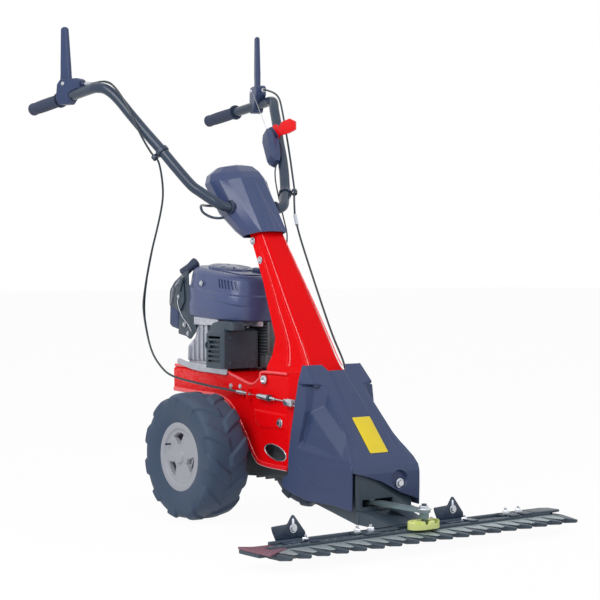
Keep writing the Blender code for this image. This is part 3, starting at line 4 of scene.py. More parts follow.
import bmesh
import bpy
import numpy as np
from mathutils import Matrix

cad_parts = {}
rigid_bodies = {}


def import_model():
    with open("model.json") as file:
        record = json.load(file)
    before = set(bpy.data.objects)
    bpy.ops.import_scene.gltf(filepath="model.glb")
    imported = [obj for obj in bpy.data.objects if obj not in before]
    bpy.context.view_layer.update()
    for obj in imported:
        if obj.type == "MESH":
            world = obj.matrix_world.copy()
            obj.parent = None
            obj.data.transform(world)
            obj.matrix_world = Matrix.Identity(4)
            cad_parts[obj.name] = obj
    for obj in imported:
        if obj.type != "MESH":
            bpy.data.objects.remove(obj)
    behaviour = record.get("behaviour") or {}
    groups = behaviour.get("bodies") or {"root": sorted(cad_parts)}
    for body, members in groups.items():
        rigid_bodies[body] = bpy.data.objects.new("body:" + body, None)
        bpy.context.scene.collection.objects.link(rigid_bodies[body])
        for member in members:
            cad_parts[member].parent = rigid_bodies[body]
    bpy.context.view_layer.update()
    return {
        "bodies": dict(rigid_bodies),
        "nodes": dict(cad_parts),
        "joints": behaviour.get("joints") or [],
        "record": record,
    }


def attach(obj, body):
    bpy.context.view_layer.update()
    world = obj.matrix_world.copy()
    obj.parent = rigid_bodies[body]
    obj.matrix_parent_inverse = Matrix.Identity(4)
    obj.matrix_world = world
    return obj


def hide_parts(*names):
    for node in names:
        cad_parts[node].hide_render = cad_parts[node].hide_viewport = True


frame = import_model()
bodyOf = {node: body for body, members in frame["record"]["behaviour"]["bodies"].items()
    for node in members}
print("frame loaded:", len(frame["nodes"]), "solids")

# the machine's own origin, on the ground midway between the wheels, as it stands in the row frame
machineOrigin = np.array([-0.0423, 0.033, 0.0])
bothSides = ((-1, "right"), (1, "left"))


# surfaces as whole arrays

def gridQuads(rows, cols, wrapRows=False, wrapCols=False):
    # the four corners of every cell of a grid of points, numbered row by row
    i = np.arange(rows if wrapRows else rows - 1)[:, None] * cols
    j = np.arange(cols if wrapCols else cols - 1)[None, :]
    a, b = i, (i + cols) % (rows * cols)
    k = (j + 1) % cols
    return np.stack([a + j, a + k, b + k, b + j], -1).reshape(-1, 4)


def gridShape(grid, wrapRows=False, wrapCols=False):
    grid = np.asarray(grid, float)
    return grid.reshape(-1, 3), gridQuads(grid.shape[0], grid.shape[1], wrapRows, wrapCols)


def smoothStep(low, high, x):
    # 0 below low, 1 above high, and 3t squared minus 2t cubed between
    t = np.clip((x - low) / (high - low), 0, 1)
    return t * t * (3 - 2 * t)


def hump(x, centre, width):
    # a bell of height 1: e to the minus square of the distance over the width
    return np.exp(-((x - centre) / width) ** 2)


def curveThrough(points, count):
    # a Catmull-Rom curve: each span is the cubic of its two ends and their neighbours
    p = np.asarray(points, float)
    p = np.vstack([2 * p[0] - p[1], p, 2 * p[-1] - p[-2]])
    t = np.linspace(0, len(p) - 3, count)
    i = np.minimum(t.astype(int), len(p) - 4)
    f = (t - i)[:, None]
    a, b, c, d = p[i], p[i + 1], p[i + 2], p[i + 3]
    return 0.5 * (2 * b + (c - a) * f + (2 * a - 5 * b + 4 * c - d) * f ** 2 +
        (3 * b - a - 3 * c + d) * f ** 3)


def evenSteps(points, count):
    # the same line read at even steps of its length
    points = np.asarray(points, float)
    length = np.concatenate([[0], np.cumsum(np.linalg.norm(np.diff(points, axis=0), axis=1))])
    at = np.linspace(0, length[-1], count)
    return np.stack([np.interp(at, length, points[:, k]) for k in range(points.shape[1])], -1)


def pathFrames(path, reference):
    # at each point of a path the two directions square to it, worked from one reference
    path = np.asarray(path, float)
    ahead = np.gradient(path, axis=0)
    ahead /= np.linalg.norm(ahead, axis=1, keepdims=True)
    side = np.cross(ahead, np.asarray(reference, float))
    side /= np.linalg.norm(side, axis=1, keepdims=True)
    return side, np.cross(side, ahead)


def sweep(path, radius, reference, sides=24, closed=True, squash=(1.0, 1.0)):
    # a ring of the radius at each point of the path; the two ends are drawn in to the path to close them
    path = np.asarray(path, float)
    side, up = pathFrames(path, reference)
    radius = np.broadcast_to(np.asarray(radius, float), (len(path),)).copy()
    if closed:
        path = np.vstack([path[:1], path, path[-1:]])
        side, up = (np.vstack([v[:1], v, v[-1:]]) for v in (side, up))
        radius = np.concatenate([[0], radius, [0]])
    turn = np.linspace(0, 2 * np.pi, sides, endpoint=False)
    ring = side[:, None] * np.cos(turn)[None, :, None] * squash[0] + up[:, None] * np.sin(turn)[None, :,
        None] * squash[1]
    return gridShape(path[:, None] + ring * radius[:, None, None], wrapCols=True)


def lathe(profile, centre, axis, steps=64, closed=False, around=None):
    # the (radius, height) profile turned about an axis; around gives each angle's own factor on the radius
    profile = np.asarray(profile, float)
    turn = np.linspace(0, 2 * np.pi, steps, endpoint=False)
    factor = np.ones(steps) if around is None else around(turn)
    u = profile[:, :1] * np.cos(turn) * factor
    v = profile[:, :1] * np.sin(turn) * factor
    h = np.broadcast_to(profile[:, 1:], u.shape)
    order = {"x": (h, u, v), "y": (u, h, v), "z": (u, v, h)}[axis]
    return gridShape(np.stack(order, -1) + np.asarray(centre, float), wrapRows=closed, wrapCols=True)


def roundProfile(points, radius, steps=4):
    # the corners of an open profile replaced by short curves of the radius
    p = np.asarray(points, float)
    out = [p[:1]]
    t = np.linspace(0, 1, steps + 1)[:, None]
    for a, b, c in zip(p[:-2], p[1:-1], p[2:]):
        la, lc = np.linalg.norm(a - b), np.linalg.norm(c - b)
        s = b + (a - b) / max(la, 1e-9) * min(radius, la * 0.45)
        e = b + (c - b) / max(lc, 1e-9) * min(radius, lc * 0.45)
        out.append(s * (1 - t) ** 2 + b * 2 * t * (1 - t) + e * t ** 2)
    out.append(p[-1:])
    return np.vstack(out)


def roundOutline(points, radius, steps=4):
    p = np.asarray(points, float)
    return roundProfile(np.vstack([p[-1:], p, p[:1]]), radius, steps)[1:-1]


def blurAlong(grid, axis, width, wrap):
    # each point averaged with its neighbours under a bell of that width in steps, which rounds the creases
    if width <= 0:
        return grid
    reach = int(math.ceil(width * 2.5))
    weights = np.exp(-(np.arange(-reach, reach + 1) / width) ** 2)
    weights /= weights.sum()
    if wrap:
        return sum(w * np.roll(grid, k - reach, axis) for k, w in enumerate(weights))
    pad = [(0, 0)] * grid.ndim
    pad[axis] = (reach, reach)
    wide = np.pad(grid, pad, mode="reflect", reflect_type="odd")
    n = grid.shape[axis]
    return sum(w * np.take(wide, np.arange(k, k + n), axis) for k, w in enumerate(weights))


def softGrid(corners, rows, cols, blurRows, blurCols, wrapCols=True):
    # a few rings of corner points, read at even steps of their mean length and then blurred
    g = np.asarray(corners, float)
    if wrapCols:
        g = np.concatenate([g, g[:, :1]], 1)
    for axis, count in ((0, rows), (1, cols + 1 if wrapCols else cols)):
        g = np.moveaxis(g, axis, 0)
        steps = np.linalg.norm(np.diff(g, axis=0), axis=-1).mean(1)
        length = np.concatenate([[0], np.cumsum(steps)])
        at = np.linspace(0, length[-1], count)
        i = np.clip(np.searchsorted(length, at, side="right") - 1, 0, len(length) - 2)
        f = ((at - length[i]) / (length[i + 1] - length[i]))[:, None, None]
        g = np.moveaxis(g[i] * (1 - f) + g[i + 1] * f, 0, axis)
    if wrapCols:
        g = g[:, :-1]
    return blurAlong(blurAlong(g, 1, blurCols, wrapCols), 0, blurRows, False)


def gridNormals(grid, wrapCols=True):
    # the cross product of the two directions of the grid, made one long
    if wrapCols:
        across = np.roll(grid, -1, 1) - np.roll(grid, 1, 1)
    else:
        across = np.gradient(grid, axis=1)
    n = np.cross(across, np.gradient(grid, axis=0))
    return n / np.maximum(np.linalg.norm(n, axis=-1, keepdims=True), 1e-12)


def outlineDistance(x, y, outline):
    # how far each point lies inside a closed outline: the distance to the nearest side, negative outside
    p = np.asarray(outline, float)
    best = np.full(np.shape(x), 1e9)
    inside = np.zeros(np.shape(x), bool)
    for (ax, ay), (bx, by) in zip(p, np.roll(p, -1, 0)):
        ex, ey = bx - ax, by - ay
        t = np.clip(((x - ax) * ex + (y - ay) * ey) / (ex * ex + ey * ey), 0, 1)
        best = np.minimum(best, np.hypot(x - ax - t * ex, y - ay - t * ey))
        crossing = (ay > y) != (by > y)
        inside ^= crossing & (x < ex * (y - ay) / (ey if abs(ey) > 1e-12 else 1e-12) + ax)
    return np.where(inside, best, -best)


def slab(outline, low, high, axis, rim=0.0008):
    # an outline pushed along an axis, its two rims rounded off, each face closed towards its middle
    p = np.asarray(outline, float)
    ahead, behind = np.roll(p, -1, 0) - p, p - np.roll(p, 1, 0)
    normal = np.stack([ahead[:, 1] + behind[:, 1], -ahead[:, 0] - behind[:, 0]], -1)
    normal /= np.maximum(np.linalg.norm(normal, axis=1, keepdims=True), 1e-12)
    area = np.sum(p[:, 0] * np.roll(p[:, 1], -1) - np.roll(p[:, 0], -1) * p[:, 1])
    inward = -normal * np.sign(area)
    rings = []
    for level, draw in ((low, rim), (low + rim * 0.3, rim * 0.3), (low + rim, 0), (high - rim, 0),
            (high - rim * 0.3, rim * 0.3), (high, rim)):
        q = p + inward * draw
        rings.append(np.insert(q, "xyz".index(axis), level, axis=1))
    count = len(p)
    points = np.vstack(rings)
    faces = [tuple(q) for q in gridQuads(len(rings), count, wrapCols=True)]
    return points, faces + [tuple(range(count)), tuple(range(len(points) - count, len(points)))]


def roundSlab(points, radius, low, high, axis, rim=0.0008, steps=4):
    # a slab whose corners are rounded off first
    return slab(roundOutline(points, radius, steps), low, high, axis, rim)


def moved(shape, turn=None, place=(0, 0, 0)):
    points, faces = shape
    if turn is not None:
        points = points @ np.asarray(turn, float).T
    return points + np.asarray(place, float), faces


def turnAbout(axis, degrees):
    c, s = math.cos(math.radians(degrees)), math.sin(math.radians(degrees))
    return {"x": [[1, 0, 0], [0, c, -s], [0, s, c]], "y": [[c, 0, s], [0, 1, 0], [-s, 0, c]],
        "z": [[c, -s, 0], [s, c, 0], [0, 0, 1]]}[axis]


def hexBolt(centre, axis, across=0.013, height=0.007, washer=True, stud=0.0):
    # a six-sided head with a domed top, on a washer, with a stud through it if asked
    turn = np.linspace(0, 2 * np.pi, 48, endpoint=False)
    hexRadius = across / 2 / np.cos((turn + np.pi / 6) % (np.pi / 3) - np.pi / 6)
    shapes = []
    if washer:
        ring = np.array([[0, 0], [0.78, 0], [0.8, 0.0003], [0.8, 0.0014], [0.78, 0.0017], [0, 0.0017]])
        shapes.append(lathe(ring * [across, 1], (0, 0, 0), "z", 32))
    levels = [(0.0, 0.0012), (1.0, 0.0012), (1.0, height * 0.85), (0.9, height), (0.0, height)]
    shapes.append(lathe(levels, (0, 0, 0), "z", 48, around=lambda a: hexRadius))
    if stud:
        shapes.append(lathe([(0, 0), (across * 0.27, 0), (across * 0.27, height + stud - 0.001),
            (across * 0.2, height + stud), (0, height + stud)], (0, 0, 0), "z", 20))
    basis = {"z": np.eye(3), "-z": np.diag([1, -1, -1]), "x": [[0, 0, 1], [1, 0, 0], [0, 1, 0]],
        "-x": [[0, 0, -1], [1, 0, 0], [0, -1, 0]], "y": [[1, 0, 0], [0, 0, 1], [0, -1, 0]],
        "-y": [[1, 0, 0], [0, 0, -1], [0, 1, 0]]}[axis]
    return [moved(s, basis, centre) for s in shapes]


# objects from surfaces

def settle(obj, finish, body, replaces, smooth):
    material, slot = finishes[finish]
    obj.data.materials.clear()
    obj.data.materials.append(material)
    obj.data.shade_smooth()
    obj.data.set_sharp_from_angle(angle=math.radians(smooth))
    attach(obj, body)
    if replaces:
        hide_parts(*replaces)
    return obj


def addPiece(name, shapes, finish, body, replaces=(), smooth=38, outward=True):
    # joins shapes given in the machine's frame into one mesh, closes seams and poles, turns faces outwards
    points, faces, start = [], [], 0
    for p, f in shapes:
        points.append(p)
        faces.extend((np.asarray(f) + start).tolist() if isinstance(f, np.ndarray)
            else [tuple(int(k) + start for k in face) for face in f])
        start += len(p)
    mesh = bpy.data.meshes.new(name)
    mesh.from_pydata((np.vstack(points) + machineOrigin).tolist(), [], faces)
    bm = bmesh.new()
    bm.from_mesh(mesh)
    bmesh.ops.remove_doubles(bm, verts=bm.verts, dist=1e-6)
    bmesh.ops.dissolve_degenerate(bm, edges=bm.edges, dist=1e-7)
    if outward:
        bmesh.ops.recalc_face_normals(bm, faces=bm.faces)
    bm.to_mesh(mesh)
    bm.free()
    obj = bpy.data.objects.new(name, mesh)
    bpy.context.scene.collection.objects.link(obj)
    return settle(obj, finish, body, replaces, smooth)


def roundEdges(obj, width, segments=2, angle=28):
    bevel = obj.modifiers.new("rounded edges", "BEVEL")
    bevel.width = width
    bevel.segments = segments
    bevel.limit_method = "ANGLE"
    bevel.angle_limit = math.radians(angle)
    bevel.harden_normals = False
    return obj


def thicken(obj, thickness, offset):
    # gives a single skin the thickness of a wall, on the side that the offset names
    wall = obj.modifiers.new("wall", "SOLIDIFY")
    wall.thickness = thickness
    wall.offset = offset


def reshape(obj, scale, shift):
    # a mesh stretched about the middle of its box, then moved
    points = np.empty(len(obj.data.vertices) * 3)
    obj.data.vertices.foreach_get("co", points)
    points = points.reshape(-1, 3)
    middle = (points.min(0) + points.max(0)) / 2
    obj.data.vertices.foreach_set("co", (middle + (points - middle) * scale + shift).ravel())
    obj.data.update()


def dress(node, finish, width=0.0008, segments=2, angle=28, smooth=38, name=None):
    # a solid's own mesh, its triangles merged back into flat faces, with its edges rounded
    mesh = frame["nodes"][node].data.copy()
    bm = bmesh.new()
    bm.from_mesh(mesh)
    bmesh.ops.remove_doubles(bm, verts=bm.verts, dist=2e-5)
    bmesh.ops.dissolve_limit(bm, angle_limit=math.radians(0.6), verts=bm.verts, edges=bm.edges)
    bm.to_mesh(mesh)
    bm.free()
    if mesh.has_custom_normals:
        mesh.normals_split_custom_set([(0, 0, 0)] * len(mesh.loops))
    obj = bpy.data.objects.new(name or node + "_skin", mesh)
    bpy.context.scene.collection.objects.link(obj)
    settle(obj, finish, bodyOf[node], [node], smooth)
    return roundEdges(obj, width, segments, angle) if width else obj


# effects that several finishes share, each one group with its own values in every finish

def newGroup(name, inputs, outputs):
    tree = bpy.data.node_groups.new(name, "ShaderNodeTree")
    for label, kind, value in inputs:
        socket = tree.interface.new_socket(label, in_out="INPUT", socket_type="NodeSocket" + kind)
        if value is not None:
            socket.default_value = value
    for label, kind in outputs:
        tree.interface.new_socket(label, in_out="OUTPUT", socket_type="NodeSocket" + kind)
    return tree, tree.nodes.new("NodeGroupInput"), tree.nodes.new("NodeGroupOutput")


def feed(tree, made, inputs):
    # each input takes a link where it is given another node's socket, and otherwise the value itself
    for key, value in dict(inputs).items():
        if isinstance(value, bpy.types.NodeSocket):
            tree.links.new(value, made.inputs[key])
        else:
            made.inputs[key].default_value = value
    return made


def node(tree, kind, inputs=(), **settings):
    made = tree.nodes.new("ShaderNode" + kind)
    for key, value in settings.items():
        setattr(made, key, value)
    return feed(tree, made, inputs)


def reckon(tree, operation, *values, clamp=False):
    # one sum on shader values, such as a product of two
    return node(tree, "Math", enumerate(values), operation=operation, use_clamp=clamp).outputs[0]


def mottleGroup():
    # soft uneven patches: layered noise stretched to run from 0 to 1
    tree, start, end = newGroup("mottle", [("Place", "Vector", None), ("Scale", "Float", 20.0),
        ("Contrast", "Float", 1.5)], [("Patches", "Float")])
    noise = node(tree, "TexNoise", {"Vector": start.outputs["Place"], "Scale": start.outputs["Scale"],
        "Detail": 5.0, "Roughness": 0.62})
    gain = reckon(tree, "MULTIPLY", reckon(tree, "SUBTRACT", noise.outputs["Fac"], 0.5),
        start.outputs["Contrast"])
    tree.links.new(reckon(tree, "ADD", gain, 0.5, clamp=True), end.inputs["Patches"])
    return tree


def grainGroup():
    # the fine pits of a moulded or cast skin: small cells mixed with finer noise
    tree, start, end = newGroup("skin grain", [("Place", "Vector", None), ("Scale", "Float", 900.0)],
        [("Grain", "Float")])
    cells = node(tree, "TexVoronoi", {"Vector": start.outputs["Place"], "Scale": start.outputs["Scale"]})
    fine = node(tree, "TexNoise", {"Vector": start.outputs["Place"], "Scale": start.outputs["Scale"],
        "Detail": 2.0})
    both = reckon(tree, "MULTIPLY", cells.outputs["Distance"], fine.outputs["Fac"])
    tree.links.new(both, end.inputs["Grain"])
    return tree


def brushGroup():
    # long thin scratches: noise on coordinates squeezed by a different amount each way
    tree, start, end = newGroup("brushing",
        [("Place", "Vector", None), ("Squeeze", "Vector", (40.0, 900.0, 900.0))], [("Scratches", "Float")])
    squeezed = node(tree, "VectorMath", {0: start.outputs["Place"], 1: start.outputs["Squeeze"]},
        operation="MULTIPLY")
    noise = node(tree, "TexNoise", {"Vector": squeezed.outputs[0], "Scale": 1.0, "Detail": 3.0})
    tree.links.new(noise.outputs["Fac"], end.inputs["Scratches"])
    return tree


def dustGroup():
    # a thin dull film that gathers on what faces up: the upward part of the normal, broken up by noise
    tree, start, end = newGroup("settled dust", [("Place", "Vector", None), ("Amount", "Float", 0.2)],
        [("Film", "Float")])
    facing = node(tree, "NewGeometry")
    split = node(tree, "SeparateXYZ", {0: facing.outputs["Normal"]})
    up = node(tree, "MapRange", {"Value": split.outputs["Z"], "From Min": 0.3, "From Max": 1.0})
    patches = node(tree, "TexNoise", {"Vector": start.outputs["Place"], "Scale": 35.0, "Detail": 6.0,
        "Roughness": 0.7})
    film = reckon(tree, "MULTIPLY", up.outputs[0], patches.outputs["Fac"])
    tree.links.new(reckon(tree, "MULTIPLY", film, start.outputs["Amount"], clamp=True), end.inputs["Film"])
    return tree


def edgeGroup():
    # corners lightened where the surface is most pointed, broken up by noise: wear from handling, and on the
    # red paint a painted highlight
    tree, start, end = newGroup("rubbed edges", [("Place", "Vector", None), ("Amount", "Float", 0.5)],
        [("EdgeWearAndHighlight", "Float")])
    shape = node(tree, "NewGeometry")
    corner = node(tree, "MapRange", {"Value": shape.outputs["Pointiness"], "From Min": 0.52,
        "From Max": 0.6})
    noise = node(tree, "TexNoise", {"Vector": start.outputs["Place"], "Scale": 120.0, "Detail": 4.0})
    patchy = node(tree, "MapRange", {"Value": noise.outputs["Fac"], "From Min": 0.38, "From Max": 0.62})
    rub = reckon(tree, "MULTIPLY", corner.outputs[0], patchy.outputs[0])
    tree.links.new(reckon(tree, "MULTIPLY", rub, start.outputs["Amount"], clamp=True), end.inputs["EdgeWearAndHighlight"])
    return tree


groups = {
    "mottle": mottleGroup(), "grain": grainGroup(), "brush": brushGroup(), "dust": dustGroup(),
    "edge": edgeGroup(),
}


def useGroup(tree, name, inputs):
    made = tree.nodes.new("ShaderNodeGroup")
    made.node_tree = groups[name]
    return feed(tree, made, inputs).outputs[0]


def blendColour(tree, factor, first, second):
    mix = node(tree, "Mix", {0: factor}, data_type="RGBA")
    for socket, value in ((6, first), (7, second)):
        feed(tree, mix, {socket: value if isinstance(value, bpy.types.NodeSocket) else (*value, 1.0)})
    return mix.outputs[2]


def makeFinish(name, slot, look):
    # one Principled material: mottled colour, lightened corners (wear, and on the red paint a painted
    # highlight), a film of dust, grain or brushing as bump
    material = bpy.data.materials.new(name)
    material.use_nodes = True
    tree = material.node_tree
    shader = tree.nodes["Principled BSDF"]
    place = node(tree, "TexCoord").outputs["Object"]
    colour = look["colour"]
    material.diffuse_color = (*colour, 1.0)
    patches = useGroup(tree, "mottle", {"Place": place, "Scale": look.get("patchScale", 14.0),
        "Contrast": 1.8})
    shade = blendColour(tree, patches, colour, look.get("other", tuple(c * 1.18 for c in colour)))
    # corners blended to a lighter colour: wear, and on the red paint a painted highlight in a pinker red
    if look.get("rub"):
        rub = useGroup(tree, "edge", {"Place": place, "Amount": look["rub"]})
        shade = blendColour(tree, rub, shade,
            look.get("rubColour", tuple(min(1, c * 2.2 + 0.02) for c in colour)))
    film = useGroup(tree, "dust", {"Place": place, "Amount": look.get("dust", 0.08)})
    shade = blendColour(tree, film, shade, look.get("dustColour", (0.33, 0.36, 0.42)))
    tree.links.new(shade, shader.inputs["Base Color"])
    spread = node(tree, "MapRange",
        {"Value": patches, "To Min": look["gloss"][0], "To Max": look["gloss"][1]})
    dull = reckon(tree, "MULTIPLY_ADD", film, 0.5, spread.outputs[0], clamp=True)
    tree.links.new(dull, shader.inputs["Roughness"])
    height = None
    if look.get("grain"):
        scale, depth = look["grain"]
        height = useGroup(tree, "grain", {"Place": place, "Scale": scale})
    if look.get("brush"):
        squeeze, depth = look["brush"]
        height = useGroup(tree, "brush", {"Place": place, "Squeeze": squeeze})
    if height:
        bump = node(tree, "Bump", {"Height": height, "Strength": 1.0, "Distance": depth})
        tree.links.new(bump.outputs["Normal"], shader.inputs["Normal"])
    shader.inputs["Metallic"].default_value = look.get("metallic", 0.0)
    shader.inputs["Specular IOR Level"].default_value = look.get("specular", 0.5)
    shader.inputs["Coat Weight"].default_value = look.get("coat", 0.0)
    if look.get("edgeCoat"):
        thick = reckon(tree, "MULTIPLY_ADD", rub, look["edgeCoat"], look["coat"], clamp=True)
        tree.links.new(thick, shader.inputs["Coat Weight"])
    shader.inputs["Coat Roughness"].default_value = look.get("coatGloss", 0.1)
    return material, slot


def finishRow(slot, colour, other, gloss, **more):
    # a finish: its record slot, its two mixed colours, its roughness range and whatever else it has
    return slot, dict(colour=colour, other=other, gloss=gloss, **more)


finishLooks = {
    # the red paint's corners lighten to a pinker red, a painted highlight, under a thicker coat
    "redPaint": finishRow("red_paint", (0.8, 0.0022, 0.0045), (0.7, 0.0018, 0.004), (0.22, 0.32),
        patchScale=5.0, specular=0.05, coat=0.03, edgeCoat=3.2, coatGloss=0.12, grain=(420.0, 0.00004),
        dust=0.02, dustColour=(0.75, 0.12, 0.12), rub=0.25, rubColour=(0.9, 0.1, 0.12)),
    # a lighter, pinker copy of the red paint with real gloss, for beads on corners and lips: a painted
    # highlight
    "redPaintedHighlight": finishRow("red_paint", (0.86, 0.012, 0.02), (0.8, 0.008, 0.016), (0.16, 0.24),
        patchScale=5.0, specular=0.6, coat=0.9, coatGloss=0.08, dust=0.0),
    "plastic": finishRow("black_plastic", (0.024, 0.042, 0.108), (0.033, 0.052, 0.128), (0.34, 0.46),
        patchScale=6.0, specular=0.35, grain=(1500.0, 0.0001), dust=0.07, rub=0.35,
        rubColour=(0.11, 0.15, 0.24)),
    "glossPlastic": finishRow("black_plastic", (0.03, 0.055, 0.14), (0.05, 0.066, 0.16), (0.18, 0.28),
        patchScale=5.0, specular=0.36, dust=0.05, grain=(1500.0, 0.00003), rub=0.3,
        rubColour=(0.12, 0.15, 0.26)),
    # a lighter copy of the black plastic for the shroud: painted light on its faces
    "shroudPlasticPaintedLight": finishRow("black_plastic", (0.056, 0.08, 0.18), (0.072, 0.092, 0.205), (0.2, 0.3),
        patchScale=5.0, specular=0.36, dust=0.05, grain=(1500.0, 0.00003), rub=0.3,
        rubColour=(0.16, 0.18, 0.3)),
    "powderCoat": finishRow("black_coat", (0.02, 0.036, 0.066), (0.026, 0.044, 0.078), (0.22, 0.32),
        specular=0.34, coat=0.08, coatGloss=0.15, grain=(900.0, 0.00005), dust=0.05, rub=0.3),
    "darkCoat": finishRow("dark_steel", (0.029, 0.048, 0.07), (0.036, 0.056, 0.08), (0.36, 0.48),
        patchScale=9.0, specular=0.4, grain=(900.0, 0.00006), dust=0.04, rub=0.25,
        rubColour=(0.13, 0.16, 0.18)),
    "darkCast": finishRow("cast_aluminium", (0.06, 0.075, 0.085), (0.075, 0.09, 0.1), (0.42, 0.55),
        patchScale=12.0, metallic=0.2, dust=0.06, grain=(650.0, 0.0002), rub=0.25,
        rubColour=(0.3, 0.32, 0.34)),
    "tyre": finishRow("tyre", (0.03, 0.054, 0.098), (0.038, 0.063, 0.112), (0.5, 0.66), patchScale=9.0,
        specular=0.35, grain=(800.0, 0.00018), dust=0.16, rub=0.3, rubColour=(0.09, 0.12, 0.19)),
    "rim": finishRow("rim_grey", (0.295, 0.305, 0.345), (0.325, 0.335, 0.375), (0.38, 0.5), specular=0.4,
        grain=(1100.0, 0.00007), dust=0.06, rub=0.3, rubColour=(0.5, 0.5, 0.55)),
    "brightSteel": finishRow("steel", (0.62, 0.64, 0.68), (0.5, 0.52, 0.57), (0.2, 0.34), patchScale=40.0,
        metallic=1.0, dust=0.05, brush=((60.0, 900.0, 900.0), 0.00003)),
    "knifeSteel": finishRow("steel", (0.36, 0.42, 0.44), (0.27, 0.33, 0.35), (0.34, 0.48),
        patchScale=30.0, metallic=0.6, dust=0.08, brush=((900.0, 60.0, 900.0), 0.00005)),
    "armSteel": finishRow("steel", (0.2, 0.27, 0.29), (0.15, 0.21, 0.23), (0.32, 0.48), patchScale=50.0,
        metallic=0.6, dust=0.08, grain=(600.0, 0.00008)),
    "castMetal": finishRow("cast_aluminium", (0.5, 0.52, 0.58), (0.4, 0.42, 0.48), (0.34, 0.5),
        patchScale=45.0, metallic=0.75, dust=0.08, grain=(650.0, 0.00022), rub=0.3,
        rubColour=(0.8, 0.8, 0.85)),
    "knifeHead": finishRow("head_green", (0.6, 0.66, 0.19), (0.66, 0.71, 0.27), (0.36, 0.5),
        patchScale=45.0, dust=0.06, dustColour=(0.5, 0.5, 0.3), grain=(900.0, 0.00008), rub=0.3,
        rubColour=(0.8, 0.83, 0.45)),
    "knob": finishRow("knob_red", (0.78, 0.002, 0.004), (0.86, 0.004, 0.006), (0.24, 0.32), specular=0.3,
        dust=0.02, dustColour=(0.7, 0.3, 0.3), grain=(900.0, 0.00003)),
    "rubber": finishRow("rubber", (0.024, 0.036, 0.075), (0.03, 0.044, 0.086), (0.52, 0.68),
        specular=0.35, grain=(1300.0, 0.00015), dust=0.08),
    "cableSheath": finishRow("black_coat", (0.014, 0.026, 0.036), (0.02, 0.034, 0.046), (0.3, 0.42),
        grain=(1200.0, 0.00004), dust=0.05),
    "whiteSleeve": finishRow("rim_grey", (0.66, 0.7, 0.76), (0.58, 0.62, 0.7), (0.35, 0.5), dust=0.04,
        grain=(1200.0, 0.00003)),
    "rawIron": finishRow("dark_steel", (0.215, 0.078, 0.12), (0.15, 0.072, 0.102), (0.4, 0.58),
        patchScale=12.0, metallic=0.3, grain=(500.0, 0.00015), dust=0.08, rub=0.5,
        rubColour=(0.4, 0.3, 0.3)),
    "label": finishRow("rim_grey", (0.7, 0.53, 0.006), (0.76, 0.58, 0.008), (0.35, 0.45), dust=0.03,
        grain=(1500.0, 0.00002)),
}
finishes = {name: makeFinish(name, slot, look) for name, (slot, look) in finishLooks.items()}
print("finishes made:", len(finishes))


# wheels

tyre = {
    "radius": 0.165, "middle": 0.198, "lugs": 11, "lugHeight": 0.0058, "lugShare": 0.225, "lean": 0.45,
    "around": 484,
    "section": [(0.0425, 0.0712), (0.0458, 0.0752), (0.0498, 0.084), (0.056, 0.098), (0.0602, 0.113),
        (0.0614, 0.1285), (0.0598, 0.1405), (0.0552, 0.1504), (0.0436, 0.1564), (0.022, 0.1588),
        (0.0, 0.1593)],
    "lining": [(0.035, 0.0712), (0.04, 0.09), (0.045, 0.125), (0.03, 0.143), (0.0, 0.146)],
}


def tyreShape(side):
    # the carcass section turned about the axle; each point then moves out along the section's own normal by a
    # bar lug, whose height falls to 0 over a few millimetres at its sides and at its end on the wall
    half = curveThrough(tyre["section"], 56)
    outer = np.vstack([half, (half * [-1, 1])[-2::-1]])
    lining = np.vstack([np.array(tyre["lining"]) * [-1, 1], np.array(tyre["lining"])[-2::-1]])
    ahead = np.gradient(outer, axis=0)
    normal = np.stack([-ahead[:, 1], ahead[:, 0]], -1) / np.linalg.norm(ahead, axis=1, keepdims=True)
    normal *= np.sign(normal[len(normal) // 2, 1])
    way = np.concatenate([[0], np.cumsum(np.linalg.norm(np.diff(outer, axis=0), axis=1))])
    way = (way - way[len(way) // 2])[None, :]
    turn = np.linspace(0, 2 * np.pi, tyre["around"], endpoint=False)[:, None]
    pitch = 2 * np.pi / tyre["lugs"]
    height = 0
    for half, shift in ((1, 0.0), (-1, 0.5)):
        across = -way * half
        lean = tyre["lean"] * np.clip(np.abs(across) / 0.055, 0, 1.15)
        phase = (turn / pitch - lean - shift + 0.5 - tyre["lugShare"]) % 1 - 0.5
        wide = tyre["lugShare"] * (0.86 + 0.26 * np.clip(across / 0.06, 0, 1))
        aside = (wide - np.abs(phase)) * pitch * 0.16
        along = np.minimum(across + 0.003, 0.08 - across)
        inside = np.minimum(aside, along)
        rise = smoothStep(-0.0005, 0.0052, inside) * (1 - 0.25 * smoothStep(0.06, 0.085, across))
        height = np.maximum(height, rise)
    height = height * tyre["lugHeight"]
    radius = outer[:, 1]
    for at, rise in ((0.09, 0.0011), (0.079, 0.0009), (0.132, 0.0007)):
        height = height + rise * hump(radius, at, 0.0013)
    w = outer[:, 0] + normal[:, 0] * height
    r = np.minimum(outer[:, 1] + normal[:, 1] * height, tyre["radius"] - 0.0002)
    w = np.hstack([np.clip(w, -0.0622, 0.0622), np.broadcast_to(lining[:, 0], (len(turn), len(lining)))])
    r = np.hstack([r, np.broadcast_to(lining[:, 1], (len(turn), len(lining)))])
    angle = turn - np.pi / 2
    grid = np.stack([r * np.cos(angle), side * (tyre["middle"] + w), tyre["radius"] + r * np.sin(angle)],
        -1)
    return gridShape(grid, wrapRows=True, wrapCols=True)


